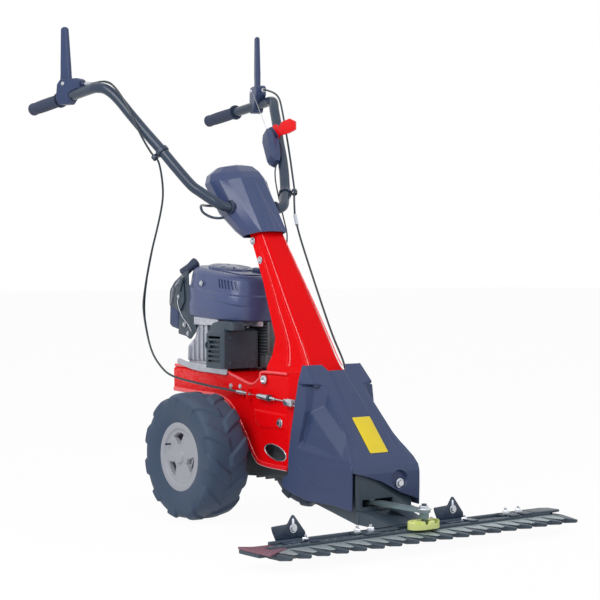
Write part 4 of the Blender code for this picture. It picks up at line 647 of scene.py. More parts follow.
rim = {
    "face": [(0.0, 0.0532), (0.012, 0.0532), (0.015, 0.0524), (0.0165, 0.05), (0.0178, 0.0478),
        (0.024, 0.0462), (0.04, 0.0452), (0.06, 0.0448), (0.069, 0.0452), (0.072, 0.0478),
        (0.0745, 0.0502), (0.08, 0.0506), (0.0865, 0.0506), (0.0882, 0.0496)],
    "windowTurns": (100, 220, 340), "windowDepth": 0.0115, "spokeRise": 0.0012, "sheet": 0.0022,
    "cap": [(0.0, 0.0548), (0.0095, 0.0546), (0.0118, 0.0538), (0.0122, 0.0528), (0.0, 0.0528)],
    "valve": [(0.0, 0.2445), (0.0022, 0.2445), (0.0022, 0.254), (0.003, 0.256), (0.003, 0.26),
        (0.0, 0.261)],
    "valveRadius": 0.056, "valveTurn": 2.6,
}


def rimFace(side):
    # a disc in rings and angles; its height follows the profile and drops steeply inside three rounded
    # windows, whose floors are left out, so that the windows go through
    profile = roundProfile(rim["face"], 0.0015, 3)
    spans = [np.linspace(0, 0.028, 22), np.linspace(0.0284, 0.0665, 96), np.linspace(0.067, 0.0882, 26)]
    radius = np.concatenate(spans)[:, None]
    turn = np.linspace(0, 2 * np.pi, 360, endpoint=False)[None, :]
    level = np.interp(radius, profile[:, 0], profile[:, 1])
    depth, near = 0, 0
    for degrees in rim["windowTurns"]:
        off = np.abs((turn - math.radians(degrees) + np.pi) % (2 * np.pi) - np.pi)
        half = np.radians(np.interp(radius, [0.03, 0.059], [14, 25]))
        edge = np.minimum((half - off) * radius,
            np.minimum(radius - 0.0305, 0.0632 - radius - 0.018 * off ** 2))
        depth = np.maximum(depth, smoothStep(-0.0002, 0.001, edge))
        near = np.maximum(near, hump(edge, -0.0026, 0.0014))
    level = level + near * rim["spokeRise"] - depth * rim["windowDepth"]
    points = np.stack([radius * np.cos(turn), side * (tyre["middle"] + level),
        tyre["radius"] + radius * np.sin(turn)], -1)
    shape, quads = gridShape(points, wrapCols=True)
    keep = np.broadcast_to(depth, points.shape[:2]).reshape(-1)[quads].min(1) < 0.98
    return shape, quads[keep]


def rimBarrel(side):
    # the rest of the rim: flanges, bead seats and barrel as one closed profile turned about the axle
    profile = roundProfile([(0.07, 0.047), (0.0882, 0.0488), (0.0882, 0.0466), (0.07, 0.044),
        (0.0692, 0.03), (0.066, 0.02), (0.066, -0.02), (0.0692, -0.03), (0.07, -0.044), (0.0882, -0.0466),
        (0.0882, -0.0502), (0.068, -0.049), (0.0655, -0.03), (0.0628, -0.018), (0.0628, 0.018),
        (0.0655, 0.03), (0.067, 0.047)], 0.002, 3)
    return lathe(profile * [1, side] + [0, side * tyre["middle"]], (0, 0, tyre["radius"]), "y", 120,
        closed=True)


def buildWheels():
    for side, label in bothSides:
        addPiece(f"tyre_{label}_rubber", [tyreShape(side)], "tyre", f"wheel_{label}", [f"tyre_{label}"],
            smooth=60)
        face = addPiece(f"rim_{label}_disc", [rimFace(side)], "rim", f"wheel_{label}", smooth=50,
            outward=False)
        thicken(face, rim["sheet"], side)
        addPiece(f"rim_{label}_barrel", [rimBarrel(side)], "rim", f"wheel_{label}", [f"rim_{label}"],
            smooth=50)
        cap = np.array(rim["cap"]) * [1, side] + [0, side * tyre["middle"]]
        addPiece(f"rim_{label}_cap", [lathe(cap, (0, 0, tyre["radius"]), "y", 48)], "rim", f"wheel_{label}")
        dress(f"hub_{label}", "brightSteel", 0.0008)
        valvePlace = (rim["valveRadius"] * math.cos(rim["valveTurn"]), 0,
            tyre["radius"] + rim["valveRadius"] * math.sin(rim["valveTurn"]))
        valve = lathe(np.array(rim["valve"]) * [1, side], valvePlace, "y", 16)
        addPiece(f"valve_{label}", [valve], "rubber", f"wheel_{label}")


buildWheels()
print("wheels built")


# handlebar

bar = {
    "tubeRadius": 0.014, "head": (-0.024, 0.81),
    "route": [(-0.024, 0.0015, 0.81), (-0.024, 0.05, 0.81), (-0.024, 0.084, 0.81), (-0.03, 0.105, 0.818),
        (-0.048, 0.122, 0.833), (-0.067, 0.139, 0.85), (-0.087, 0.154, 0.868), (-0.124, 0.178, 0.915),
        (-0.16, 0.198, 0.96), (-0.208, 0.222, 1.014), (-0.244, 0.242, 1.058), (-0.284, 0.262, 1.106),
        (-0.312, 0.279, 1.131), (-0.342, 0.29, 1.1378), (-0.37, 0.2941, 1.1365), (-0.45, 0.2963, 1.1285)],
    "knob": ((0.86, 0.8, 1.42), (0.004, 0.006, 0.012)),
    "box": ((1.12, 1.18, 1.22), (-0.001, -0.003, 0.0)), "gripFront": (-0.53, 0.2985, 1.1205),
    "gripEnd": (-0.686, 0.303, 1.105), "gripBore": 0.015,
    "levers": ((-1, "right", "drive_lever", (-0.486, -0.306, 1.16), 0.158),
        (1, "left", "knife_lever", (-0.424, 0.302, 1.174), 0.162)),
    "leverTurn": 22,
}


def tubePath(side, count):
    front, end = np.array(bar["gripFront"]), np.array(bar["gripEnd"])
    line = (end - front) / np.linalg.norm(end - front)
    last = front + line * (np.linalg.norm(end - front) - 0.013)
    return curveThrough(np.array(bar["route"] + [tuple(front), tuple(last)]) * [1, side, 1], count)


def gripShape(side):
    # rings about the grip's own line; the radius follows a long swell with a collar in front, a bulb behind,
    # shallow cross ribs over the middle and fine flutes at both ends; a bore goes in from the front
    front, end = np.array(bar["gripFront"]) * [1, side, 1], np.array(bar["gripEnd"]) * [1, side, 1]
    length = np.linalg.norm(end - front)
    line = (end - front) / length
    sideways = np.cross(line, (0, 0, 1))
    sideways /= np.linalg.norm(sideways)
    up = np.cross(sideways, line)
    s = np.linspace(0, length, 150)[:, None]
    turn = np.linspace(0, 2 * np.pi, 72, endpoint=False)[None, :]
    radius = 0.0166 + 0.0009 * np.sin(np.pi * np.clip((s - 0.01) / (length - 0.02), 0, 1))
    radius = radius + 0.0052 * (1 - smoothStep(0.0055, 0.0095, s)) + 0.0012 * smoothStep(length - 0.016,
        length - 0.008, s)
    radius = radius - 0.004 * smoothStep(length - 0.004, length, s) ** 2
    ribbed = smoothStep(0.018, 0.03, s) * (1 - smoothStep(length - 0.032, length - 0.02, s))
    ribs = 0.00055 * (0.5 + 0.5 * np.cos(2 * np.pi * s / 0.0072)) * ribbed
    flutes = 0.0003 * np.cos(turn * 18) * smoothStep(0.012, 0.02, s)
    radius = radius + ribs + flutes * (ribs <= 0)
    ring = sideways * np.cos(turn)[..., None] + up * np.sin(turn)[..., None]
    grid = front + line * s[..., None] + ring * radius[..., None]
    deep = np.append(0, s[::-1][3::24][::-1])[:, None, None]
    bore = front + line * deep + ring * bar["gripBore"]
    closeEnd, floor = (np.broadcast_to(p, (1, 72, 3)) for p in (end, front + line * (length - 0.01)))
    return gridShape(np.concatenate([closeEnd, grid[::-1], bore, floor]), wrapCols=True)


def leverWay(side):
    # the level direction out of a lever's side
    lean = math.radians(bar["leverTurn"])
    return np.array([math.sin(lean), side * math.cos(lean), 0])


def leverShape(side, origin, length):
    # rings along the lever; each is a rounded rectangle whose width and thickness follow the moulded blade,
    # wide and round at the pin, then a waist, a long taper and a rounded tip
    out = leverWay(side)
    back = np.array([-side * out[1], side * out[0], 0])
    s = np.concatenate([np.linspace(-0.019, -0.012, 12), np.linspace(-0.011, length - 0.008, 60),
        np.linspace(length - 0.0074, length, 14)])
    width = np.interp(s, [-0.019, 0.0, 0.012, 0.03, length - 0.006, length],
        [0.019, 0.019, 0.0185, 0.017, 0.0108, 0.009])
    width = np.where(s < 0, np.sqrt(np.clip(0.0192 ** 2 - s ** 2, 1e-8, None)), width)
    centre = np.interp(s, [-0.019, 0.03, length], [0.0, 0.0, 0.0045])
    thick = np.interp(s, [-0.019, 0.02, 0.05, length], [0.007, 0.0071, 0.008, 0.007])
    tip = np.clip((s - (length - 0.0075)) / 0.0075, 0, 1)
    width, thick = width * np.sqrt(1 - 0.72 * tip ** 2), thick * np.sqrt(1 - 0.88 * tip ** 2)
    turn = np.linspace(0, 2 * np.pi, 44, endpoint=False)
    c, sn = np.cos(turn), np.sin(turn)
    a = np.sign(c) * np.abs(c) ** 0.55
    b = np.sign(sn) * np.abs(sn) ** 0.55
    dish = 1 - 0.1 * np.exp(-(a / 0.5) ** 2)[None, :] * smoothStep(0.035, 0.06, s)[:, None]
    grid = (origin + np.array([0, 0, 1]) * s[:, None,
        None] + back * (centre[:, None] + width[:, None] * a)[...,
        None] + out * (thick[:, None] * b * dish)[..., None])
    ends = [np.broadcast_to(grid[k].mean(0), (1, 44, 3)) for k in (0, -1)]
    return gridShape(np.concatenate([ends[0], grid, ends[1]]), wrapCols=True)


def buildHandlebar():
    for side, label in bothSides:
        path = evenSteps(tubePath(side, 400), 170)
        addPiece(f"handlebar_{label}", [sweep(path, bar["tubeRadius"], (0.6, 0.3 * side, 0.8), 40)],
            "powderCoat", "handlebar", [f"handle_tube_{label}"], smooth=50)
        addPiece(f"grip_{label}_sleeve", [gripShape(side)], "rubber", "handlebar", [f"grip_{label}"],
            smooth=50)
        dress(f"lever_bracket_{label}", "plastic", 0.0016, 3)
    head = lathe([(0, -0.004), (0.0056, -0.004), (0.0056, 0.0004), (0.005, 0.0012), (0, 0.0014)],
        (0, 0, 0), "z", 28)
    for side, label, body, place, length in bar["levers"]:
        blade = leverShape(side, np.array(place), length)
        addPiece(f"lever_{label}_blade", [blade], "plastic", body, [f"lever_{label}"], smooth=50)
        for way, reach, end in ((-1, 0.0192, "inner"), (1, 0.0152, "outer")):
            out = leverWay(side) * way
            basis = np.stack([np.cross((0, 0, 1), out), (0, 0, 1), out], 1)
            pin = moved(head, basis, np.array(place) + out * reach)
            addPiece(f"lever_{label}_pin_{end}", [pin], "brightSteel", "handlebar")
    for label in ("right", "left"):
        dress(f"cable_clip_{label}", "powderCoat", 0.0007)
    reshape(dress("throttle_box", "plastic", 0.0022, 3), *bar["box"])
    reshape(dress("throttle_knob", "knob", 0.0018, 3, angle=20, smooth=60), *bar["knob"])
    dress("handle_head", "darkCoat", 0.001)


def cableTube(name, route, radius, finish, body, reference=(0, 1, 0), replaces=(), sides=14):
    path = evenSteps(curveThrough(route, 900), 260)
    return addPiece(name, [sweep(path, radius, reference, sides)], finish, body, replaces, smooth=60)


buildHandlebar()
print("handlebar built")


# mast and chassis

mast = {
    "stations": [((0.302, 0.3863), (0.16, 0.3863), 0.062, 0.09, 0.0025),
        ((0.293, 0.402), (0.154, 0.402), 0.054, 0.082, 0.004),
        ((0.278, 0.425), (0.158, 0.428), 0.051, 0.069, 0.0055),
        ((0.249, 0.47), (0.16, 0.47), 0.049, 0.061, 0.0055),
        ((0.195, 0.549), (0.122, 0.549), 0.046, 0.055, 0.004),
        ((0.152, 0.612), (0.091, 0.612), 0.042, 0.049, 0.0022),
        ((0.098, 0.691), (0.048, 0.687), 0.037, 0.0435, 0.0003),
        ((0.066, 0.738), (0.022, 0.73), 0.034, 0.04, 0.0001),
        ((0.044, 0.771), (0.0, 0.765), 0.032, 0.037, 0.0001)],
    "across": [(0.0, -0.01, 0), (0.1, 0.0, 0), (0.12, 0.0012, 0), (0.3, 0.0012, 0), (0.42, 0.001, 0),
        (0.46, 0.0, 1), (0.5, 0.0, 1), (0.54, 0.001, 0), (0.62, 0.0005, 0), (0.66, 0.0, 0), (1.0, 0.0, 0)],
    "nuts": [(0.034, 0.72), (0.07, 0.67)],
}
deck = {
    "half": 0.098,
    "top": [(-0.252, 0.3845), (-0.036, 0.3845), (0.02, 0.3725), (0.06, 0.362), (0.104, 0.3515),
        (0.126, 0.3565), (0.146, 0.371), (0.158, 0.3845), (0.262, 0.3845)],
    "foot": [(-0.257, 0.319), (-0.15, 0.315), (-0.04, 0.3115), (0.02, 0.2895), (0.074, 0.2295),
        (0.122, 0.1675), (0.158, 0.1515), (0.262, 0.148)],
    "oval": (0.2115, 0.185, 0.047, 0.0205), "solidOval": (0.222, 0.208, 0.042, 0.0235),
    "ovalReach": 0.0435,
    "bolts": ((0.016, 0.341, 0.009, 0.0978), (0.058, 0.343, 0.008, 0.0978), (0.235, 0.261, 0.014, 0.1013)),
    "boltHead": [(0, 0.0), (0.0114, 0.0), (0.012, 0.001), (0.012, 0.006), (0.0108, 0.0078),
        (0.0075, 0.0088), (0.0062, 0.0088), (0.0055, 0.008), (0.0055, 0.004), (0, 0.004)],
}


def ringOf(front, rear, halfFront, halfRear, groove, across):
    # one level of the mast: each point's share of the way from front face to rear face gives its half width
    (fx, fz), (rx, rz) = front, rear
    wide = [halfFront + (halfRear - halfFront) * (t if t > 0.1 else 0) + more - groove * deep
        for t, more, deep in across]
    half = [(fx + (rx - fx) * row[0], y, fz + (rz - fz) * row[0]) for row, y in zip(across, wide)]
    return half + [(x, -y, z) for x, y, z in reversed(half)]


def capped(grid):
    points, quads = gridShape(grid, wrapCols=True)
    count = grid.shape[1]
    return points, [tuple(q) for q in quads.tolist()] + [tuple(range(count)),
        tuple(range(len(points) - count, len(points)))]


def buildMast():
    rings = [ringOf(*station, mast["across"]) for station in mast["stations"]]
    grid = softGrid(rings, 120, 260, 1.4, 0.75)
    addPiece("mast_skin", [capped(grid)], "redPaint", "machine", ["mast"], smooth=50)
    stations = mast["stations"][1:]
    # beads along the front corner and the groove's lip in the lighter red: a painted highlight with real
    # gloss
    for side, label in bothSides:
        corner = [(f[0] - 0.0014, side * (half - 0.0014), f[1]) for f, r, half, *rest in stations]
        path = evenSteps(curveThrough(corner, 400), 200)
        addPiece(f"mast_corner_highlight_{label}", [sweep(path, 0.0016, (1, 0, 0), 16)], "redPaintedHighlight", "machine",
            smooth=60)
        lip = [(f[0] + (r[0] - f[0]) * 0.45, side * (half + (wide - half) * 0.45 + 0.0002),
            f[1] + (r[1] - f[1]) * 0.45) for f, r, half, wide, _ in stations[:6]]
        path = evenSteps(curveThrough(lip, 400), 160)
        bead = sweep(path, np.linspace(0.004, 0.0006, 160), (1, 0, 0), 16, squash=(1.0, 0.5))
        addPiece(f"mast_fold_highlight_{label}", [bead], "redPaintedHighlight", "machine", smooth=60)
    for k, (x, z) in enumerate(mast["nuts"]):
        for side, label in bothSides:
            half = 0.0375 + (0.78 - z) * 0.055
            nut = hexBolt((x, side * half, z), "y" if side > 0 else "-y", 0.0125, 0.0055)
            addPiece(f"mast_nut_{label}_{k + 1}", nut, "brightSteel", "machine")


def rolledEdge(line, side, radius, squash):
    # a thin roll along an edge of the sheet, flattened against it
    path = evenSteps(curveThrough([(x, side * deck["half"], z) for x, z in line], 400), 150)
    return sweep(path, radius, (0, 1, 0), 20, squash=squash)


def moveOval(mesh):
    # the side holes of the solid moved and stretched to the photo's; gives back the rim of the right one
    points = np.empty(len(mesh.vertices) * 3)
    mesh.vertices.foreach_get("co", points)
    points = points.reshape(-1, 3) - machineOrigin
    cx, cz, rx, rz = deck["oval"]
    sx, sz, sw, sh = deck["solidOval"]
    near = (np.abs(points[:, 0] - sx) < deck["ovalReach"]) & (np.abs(points[:, 2] - sz) < sh)
    inHole = (np.abs(points[:, 1]) > 0.09) & near
    points[inHole, 0] = cx + (points[inHole, 0] - sx) * rx / sw
    points[inHole, 2] = cz + (points[inHole, 2] - sz) * rz / sh
    mesh.vertices.foreach_set("co", (points + machineOrigin).ravel())
    mesh.update()
    hole = points[inHole & (points[:, 1] < -0.0975)] - [cx, 0, cz]
    hole = hole[np.argsort(np.arctan2(hole[:, 2], hole[:, 0]))]
    return np.vstack([hole, hole[:1]]) + [cx, 0, cz]


def ovalRim(hole, side):
    # a thin round bead along the hole's rim: circles square to the rim's own direction
    edge = evenSteps(hole, 120)[:-1] * [1, side * 1.004, 1]
    ahead = np.roll(edge, -1, 0) - np.roll(edge, 1, 0)
    ahead /= np.linalg.norm(ahead, axis=1, keepdims=True)
    out = np.cross(ahead, (0, 1, 0))
    around = np.linspace(0, 2 * np.pi, 14, endpoint=False)[None, :, None]
    bead = edge[:, None] + (out[:, None] * np.cos(around) + np.array([0, 1, 0]) * np.sin(around)) * 0.0016
    return gridShape(bead, wrapRows=True, wrapCols=True)


def buildChassis():
    hole = moveOval(dress("chassis_shell", "redPaint", 0.0011, 3, angle=20).data)
    for side, label in bothSides:
        # the deck's lip and the lower flange take the lighter red: a painted highlight with real gloss
        for name, line, radius, flat in (("deck_lip", "top", 0.0042, 0.75),
                ("lower_flange", "foot", 0.0062, 0.62)):
            roll = rolledEdge(deck[line], side, radius, (1.0, flat))
            addPiece(f"{name}_{label}", [roll], "redPaintedHighlight", "machine", smooth=60)
        addPiece(f"oval_rim_{label}", [ovalRim(hole, side)], "brightSteel", "machine", smooth=60)
        for k, (x, z, across, half) in enumerate(deck["bolts"]):
            bolt = hexBolt((x, side * half, z), "y" if side > 0 else "-y", across, across * 0.45)
            addPiece(f"deck_bolt_{label}_{k + 1}", bolt, "brightSteel", "machine")
        disc = lathe([(r, side * (0.0981 + h)) for r, h in deck["boltHead"]], (0.168, 0, 0.366), "y", 56)
        addPiece(f"chassis_bolt_{label}", [disc], "brightSteel", "machine", ["chassis_bolt"], smooth=35)


buildMast()
buildChassis()
print("mast and chassis built")


# front cover

cover = {
    "wall": 0.003, "levels": (0.074, 0.18, 0.344, 0.374, 0.409), "notchLow": 0.385,
    "footRun": (0.266, 0.31, 0.529), "bandShare": 0.3, "halfFront": 0.106, "halfTop": 0.0865,
    "rearX": [(0.074, 0.266), (0.124, 0.266), (0.14, 0.289), (0.188, 0.292), (0.25, 0.302), (0.296, 0.31),
        (0.368, 0.316), (0.409, 0.312)],
    "rearY": [(0.074, 0.1175), (0.2, 0.1175), (0.25, 0.1165), (0.3, 0.114), (0.368, 0.106), (0.409, 0.09)],
    "bandX": [(0.074, 0.31), (0.17, 0.318), (0.196, 0.323), (0.25, 0.338), (0.299, 0.349), (0.366, 0.348),
        (0.409, 0.318)],
    "creaseX": [(0.074, 0.5275), (0.12, 0.529), (0.158, 0.5288), (0.174, 0.525), (0.19, 0.514),
        (0.212, 0.495), (0.25, 0.4616), (0.3, 0.418), (0.344, 0.3795), (0.38, 0.348), (0.409, 0.3225)],
    "creaseY": [(0.074, 0.106), (0.15, 0.106), (0.169, 0.105), (0.19, 0.0995), (0.212, 0.0895),
        (0.226, 0.082), (0.246, 0.0745), (0.3, 0.0672), (0.316, 0.065), (0.344, 0.062), (0.409, 0.06)],
    "hornY": [(0.074, 0.096), (0.366, 0.0925), (0.409, 0.0865)], "hornFoot": (0.36, 0.3645),
    "sideFoot": [(0.266, 0.112), (0.272, 0.104), (0.301, 0.094), (0.355, 0.082), (0.466, 0.08),
        (0.505, 0.075), (0.529, 0.074)],
    "wedge": [(-0.103, 0.164), (-0.052, 0.15), (-0.013, 0.137), (0.04, 0.109), (0.089, 0.092),
        (0.104, 0.086)],
    "trapeze": (0.4553, -0.4544, -0.6874), "panel": (0.1499, -0.0419, -0.1413),
    "brow": (0.4226, -0.78, -0.19), "pocket": (0.04, 0.1385, 0.0245, 0.0085),
    "notch": (0.0155, 0.023, 0.039),
}


def fromTable(table, at):
    rows = np.array(table)
    return np.interp(at, rows[:, 0], rows[:, 1])


def coverGrid():
    # columns run from the right rear edge to the crease, over the front and back on the left; rows rise.
    # the side's distance from the middle is the band's flat, or inside the recess the outermost of three
    # planes that meet in valleys; the front follows its own slope, less the pocket and the label's hollow
    bandShare, notchLow = cover["bandShare"], cover["notchLow"]
    side = np.concatenate([np.linspace(0, bandShare, 26)[:-1],
        bandShare + (1 - bandShare) * np.linspace(0, 1, 52) ** 1.15])
    front = np.linspace(-1, 1, 121)[1:-1]
    sign = np.concatenate([-np.ones(len(side)), np.zeros(len(front)), np.ones(len(side))])
    t = np.concatenate([side, np.ones(len(front)), side[::-1]])[None, :]
    q = np.concatenate([-np.ones(len(side)), front, np.ones(len(side))])[None, :]
    bottom, belt, ledge, shoulder, peak = cover["levels"]
    spans = ((bottom, belt, 50), (belt, ledge, 62), (ledge, shoulder, 32))
    level = np.concatenate([np.linspace(*span)[:-1] for span in spans] +
        [np.linspace(shoulder, peak, 22)])[:, None]
    lowX = np.interp(t, [0, bandShare, 1], cover["footRun"])
    apron = fromTable(cover["wedge"], q * cover["halfFront"])
    foot = np.where(sign != 0, fromTable(cover["sideFoot"], lowX), apron)
    drop, inner, outer = cover["notch"]
    top = peak - drop * (1 - smoothStep(inner, outer, np.abs(q) * cover["halfTop"])) * (sign == 0)
    z = np.where(level < belt, foot + (level - bottom) * (belt - foot) / (belt - bottom), level)
    z = np.where(level > notchLow, notchLow + (level - notchLow) * (top - notchLow) / (peak - notchLow), z)
    rearX, rearY, bandX, creaseX = (fromTable(cover[k], z) for k in ("rearX", "rearY", "bandX", "creaseX"))
    horn = smoothStep(*cover["hornFoot"], z)
    creaseY = fromTable(cover["creaseY"], z) * (1 - horn) + fromTable(cover["hornY"], z) * horn
    x = np.where(t < bandShare, rearX + (bandX - rearX) * t / bandShare,
        bandX + (creaseX - bandX) * (t - bandShare) / (1 - bandShare))
    steep = (rearY - creaseY) / (creaseX - rearX)
    flat = np.maximum(smoothStep(0.3555, 0.3625, z), smoothStep(0.2, 0.182, z))
    band = rearY - (steep * flat + 0.05 * (1 - flat)) * (x - rearX)
    planes = [a + b * x + c * z for a, b, c in (cover["trapeze"], cover["panel"], cover["brow"])]
    strip = creaseY + (creaseX - x) * 0.14
    deep = np.maximum(strip, np.minimum(planes[1], np.maximum(planes[0], planes[2])))
    inside = smoothStep(-0.0004, 0.003, x - bandX) * smoothStep(0.1855, 0.1905, z)
    inside = inside * (1 - smoothStep(0.361, 0.365, z))
    wide = band + (np.minimum(deep, band) - band) * inside
    wide = np.where(t >= 0.9999, creaseY, wide)
    y = np.where(sign != 0, sign * wide, q * creaseY)
    ahead = np.where(sign == 0, 1.0, 0.0)
    aside = np.abs(y) - 0.01 * smoothStep(0.39, 0.3, z)
    swell = (1 - smoothStep(0.018, 0.026, aside)) * smoothStep(0.27, 0.34, z)
    rim = ahead * smoothStep(0.86, 1.0, np.abs(q)) * smoothStep(0.17, 0.2, z)
    rise = 0.0022 * swell * ahead - 0.0016 * rim
    py, pz, radius, depth = cover["pocket"]
    reach = radius - np.hypot(y - py, (z - pz) * 1.08)
    rise = rise - depth * smoothStep(-0.0008, 0.0026, reach) * ahead
    rise = rise + 0.0007 * hump(reach, -0.0022, 0.0016) * ahead
    groove = hump(y, 0.06, 0.0032) * smoothStep(0.205, 0.222, z) * (1 - smoothStep(0.262, 0.278, z))
    rise = rise - 0.0013 * groove * ahead
    hollow = outlineDistance(y, z, [(-0.032, 0.2005), (0.032, 0.2005), (0.0315, 0.2885), (-0.0325, 0.2885)])
    rise = rise - 0.0006 * smoothStep(-0.001, 0.001, hollow) * ahead
    lean = smoothStep(0.165, 0.19, z)
    x = x + rise * (1 - 0.25 * lean)
    z = z + rise * 0.66 * lean
    x, y = (blurAlong(v, 1, 0.9, False) for v in (x, y))
    return np.stack([x, y, z], -1)


def onFront(y, z, out=0.0):
    # a point of the cover's front face, and the same moved outwards along the face's own slope
    x = fromTable(cover["creaseX"], z)
    return np.stack([x + out * 0.753, y + 0 * x, z + out * 0.658], -1)


def labelShape(y0, y1, z0, z1, thick):
    # a bare plate with rounded corners that lies on the sloping face
    outline = roundOutline([(y0, z0), (y1, z0), (y1, z1), (y0, z1)], 0.003, 5)
    rings = []
    middle = outline.mean(0)
    for share, out in ((1, 0), (1, thick * 0.7), (1 - 0.0004 / 0.03, thick), (0.5, thick), (0, thick)):
        ring = middle + (outline - middle) * share
        rings.append(onFront(ring[:, 0], ring[:, 1], out))
    return gridShape(np.array(rings), wrapCols=True)


def buildCover():
    shell = addPiece("cover_shell", [gridShape(coverGrid())], "plastic", "machine", ["front_cover"],
        smooth=42, outward=False)
    thicken(shell, cover["wall"], -1)
    addPiece("cover_label", [labelShape(-0.0285, 0.0275, 0.204, 0.285, 0.0007)], "label", "machine",
        smooth=30)
    addPiece("cover_bolt", hexBolt((0.5215, 0.047, 0.129), "x", 0.015, 0.007), "brightSteel", "machine")
    for side, label in bothSides:
        line = curveThrough([(0.329, 0.174), (0.34, 0.16), (0.362, 0.137), (0.3735, 0.1265),
            (0.39, 0.1215), (0.43, 0.1165), (0.486, 0.111)], 90)
        wide = 0.1175 - 0.048 * (line[:, 0] - 0.29)
        path = np.stack([line[:, 0], side * (wide - 0.0002), line[:, 1]], -1)
        taper = np.minimum(1, np.linspace(0, 12, 90)) * np.minimum(1, np.linspace(12, 0, 90))
        rib = sweep(path, 0.0011 * np.maximum(taper, 0.05), (0, 1, 0), 10)
        addPiece(f"cover_rib_{label}", [rib], "plastic", "machine", smooth=70)


buildCover()
print("front cover built")


# hood

hood = {
    "rings": [((0.0745, 0.745), (-0.012, 0.729), (0.04, 0.0425, 0.051, 0.053, 0.049, 0.04), 0.05),
        ((0.06, 0.766), (-0.038, 0.745), (0.0395, 0.047, 0.059, 0.063, 0.057, 0.046), 0.09),
        ((0.022, 0.822), (-0.098, 0.794), (0.0385, 0.0545, 0.0715, 0.0815, 0.073, 0.058), 0.14),
        ((-0.024, 0.891), (-0.15, 0.869), (0.0355, 0.0625, 0.078, 0.09, 0.083, 0.065), 0.24),
        ((-0.04, 0.908), (-0.156, 0.894), (0.033, 0.055, 0.069, 0.08, 0.072, 0.055), 0.24),
        ((-0.064, 0.9235), (-0.142, 0.917), (0.027, 0.04, 0.047, 0.052, 0.046, 0.036), 0.24),
        ((-0.085, 0.9275), (-0.125, 0.9245), (0.01, 0.014, 0.016, 0.017, 0.015, 0.012), 0.24)],
    "across": (0.0, None, 0.34, 0.56, 0.84, 1.0), "wall": 0.0025,
    "grommet": [(0.015, -0.002), (0.0175, -0.0008), (0.0188, 0.001), (0.0188, 0.006), (0.0178, 0.0078),
        (0.016, 0.0084), (0.015, 0.007)],
}


def hoodGrid():
    # rings from front to rear; the second column marks the fold that bounds the facet beside the front
    rings = []
    for (fx, fz), (rx, rz), widths, fold in hood["rings"]:
        shares = [fold if t is None else max(t, fold + 0.06) if 0 < t < 0.5 else t for t in hood["across"]]
        half = [(fx + (rx - fx) * t, w, fz + (rz - fz) * t) for t, w in zip(shares, widths)]
        rings.append(half + [(x, -y, z) for x, y, z in reversed(half)])
    grid = softGrid(rings, 150, 240, 1.1, 0.9)
    normal = gridNormals(grid)
    if normal[60, 0, 0] < 0:
        normal = -normal
    y, z = np.abs(grid[..., 1]), grid[..., 2]
    front = smoothStep(0.55, 0.75, normal[..., 0])
    reach = 0.0285 * np.clip((0.872 - z) / 0.13, 0, 1)
    ridge = 0.0022 * smoothStep(-0.0016, 0.0016, reach - y) * front * smoothStep(0.872, 0.862, z)
    lift = 0.0012 * hump(y, 0.0, 0.004) * front * smoothStep(0.885, 0.87, z)
    return grid + normal * (ridge + lift)[..., None]


def buildHood():
    grid = hoodGrid()
    points, quads = gridShape(grid, wrapCols=True)
    count = grid.shape[1]
    faces = [tuple(q) for q in quads.tolist()] + [tuple(range(len(points) - count, len(points)))]
    skin = addPiece("hood_skin", [(points, faces)], "glossPlastic", "machine", ["hood"], smooth=40)
    thicken(skin, hood["wall"], -1)
    for side, label in bothSides:
        grommet = lathe([(r, side * (0.069 + h)) for r, h in hood["grommet"]], (-0.024, 0, 0.81), "y", 48,
            closed=True)
        addPiece(f"tube_grommet_{label}", [grommet], "rubber", "machine", smooth=50)


buildHood()
print("hood built")


# engine

engine = {
    "centre": -0.098, "crank": -0.125, "lean": -0.14,
    "levels": [(0.516, 0.1335, 0.0985, -0.055), (0.519, 0.1365, 0.102, -0.057),
        (0.543, 0.139, 0.106, -0.075), (0.585, 0.1384, 0.1054, -0.112), (0.5885, 0.138, 0.105, -0.116),
        (0.5925, 0.1335, 0.0995, -0.121), (0.596, 0.1325, 0.0985, -0.124), (0.622, 0.1285, 0.093, -0.137),
        (0.63, 0.1265, 0.0905, -0.139), (0.637, 0.122, 0.085, -0.14), (0.6425, 0.113, 0.0755, -0.14),
        (0.6435, 0.095, 0.06, -0.14), (0.6438, 0.05, 0.032, -0.14), (0.6438, 0.001, 0.0008, -0.14)],
    "slots": 6, "slotStart": 0.074, "slotPitch": 0.0112, "slotWidth": 0.005, "slotLow": 0.604,
    "slotHigh": 0.6275,
}


def superPoint(angle, hx, hy, power=3.2):
    # a rounded rectangle: each half size times the cosine or sine raised to two over the power
    c, s = np.cos(angle), np.sin(angle)
    return hx * np.sign(c) * np.abs(c) ** (2 / power), hy * np.sign(s) * np.abs(s) ** (2 / power)


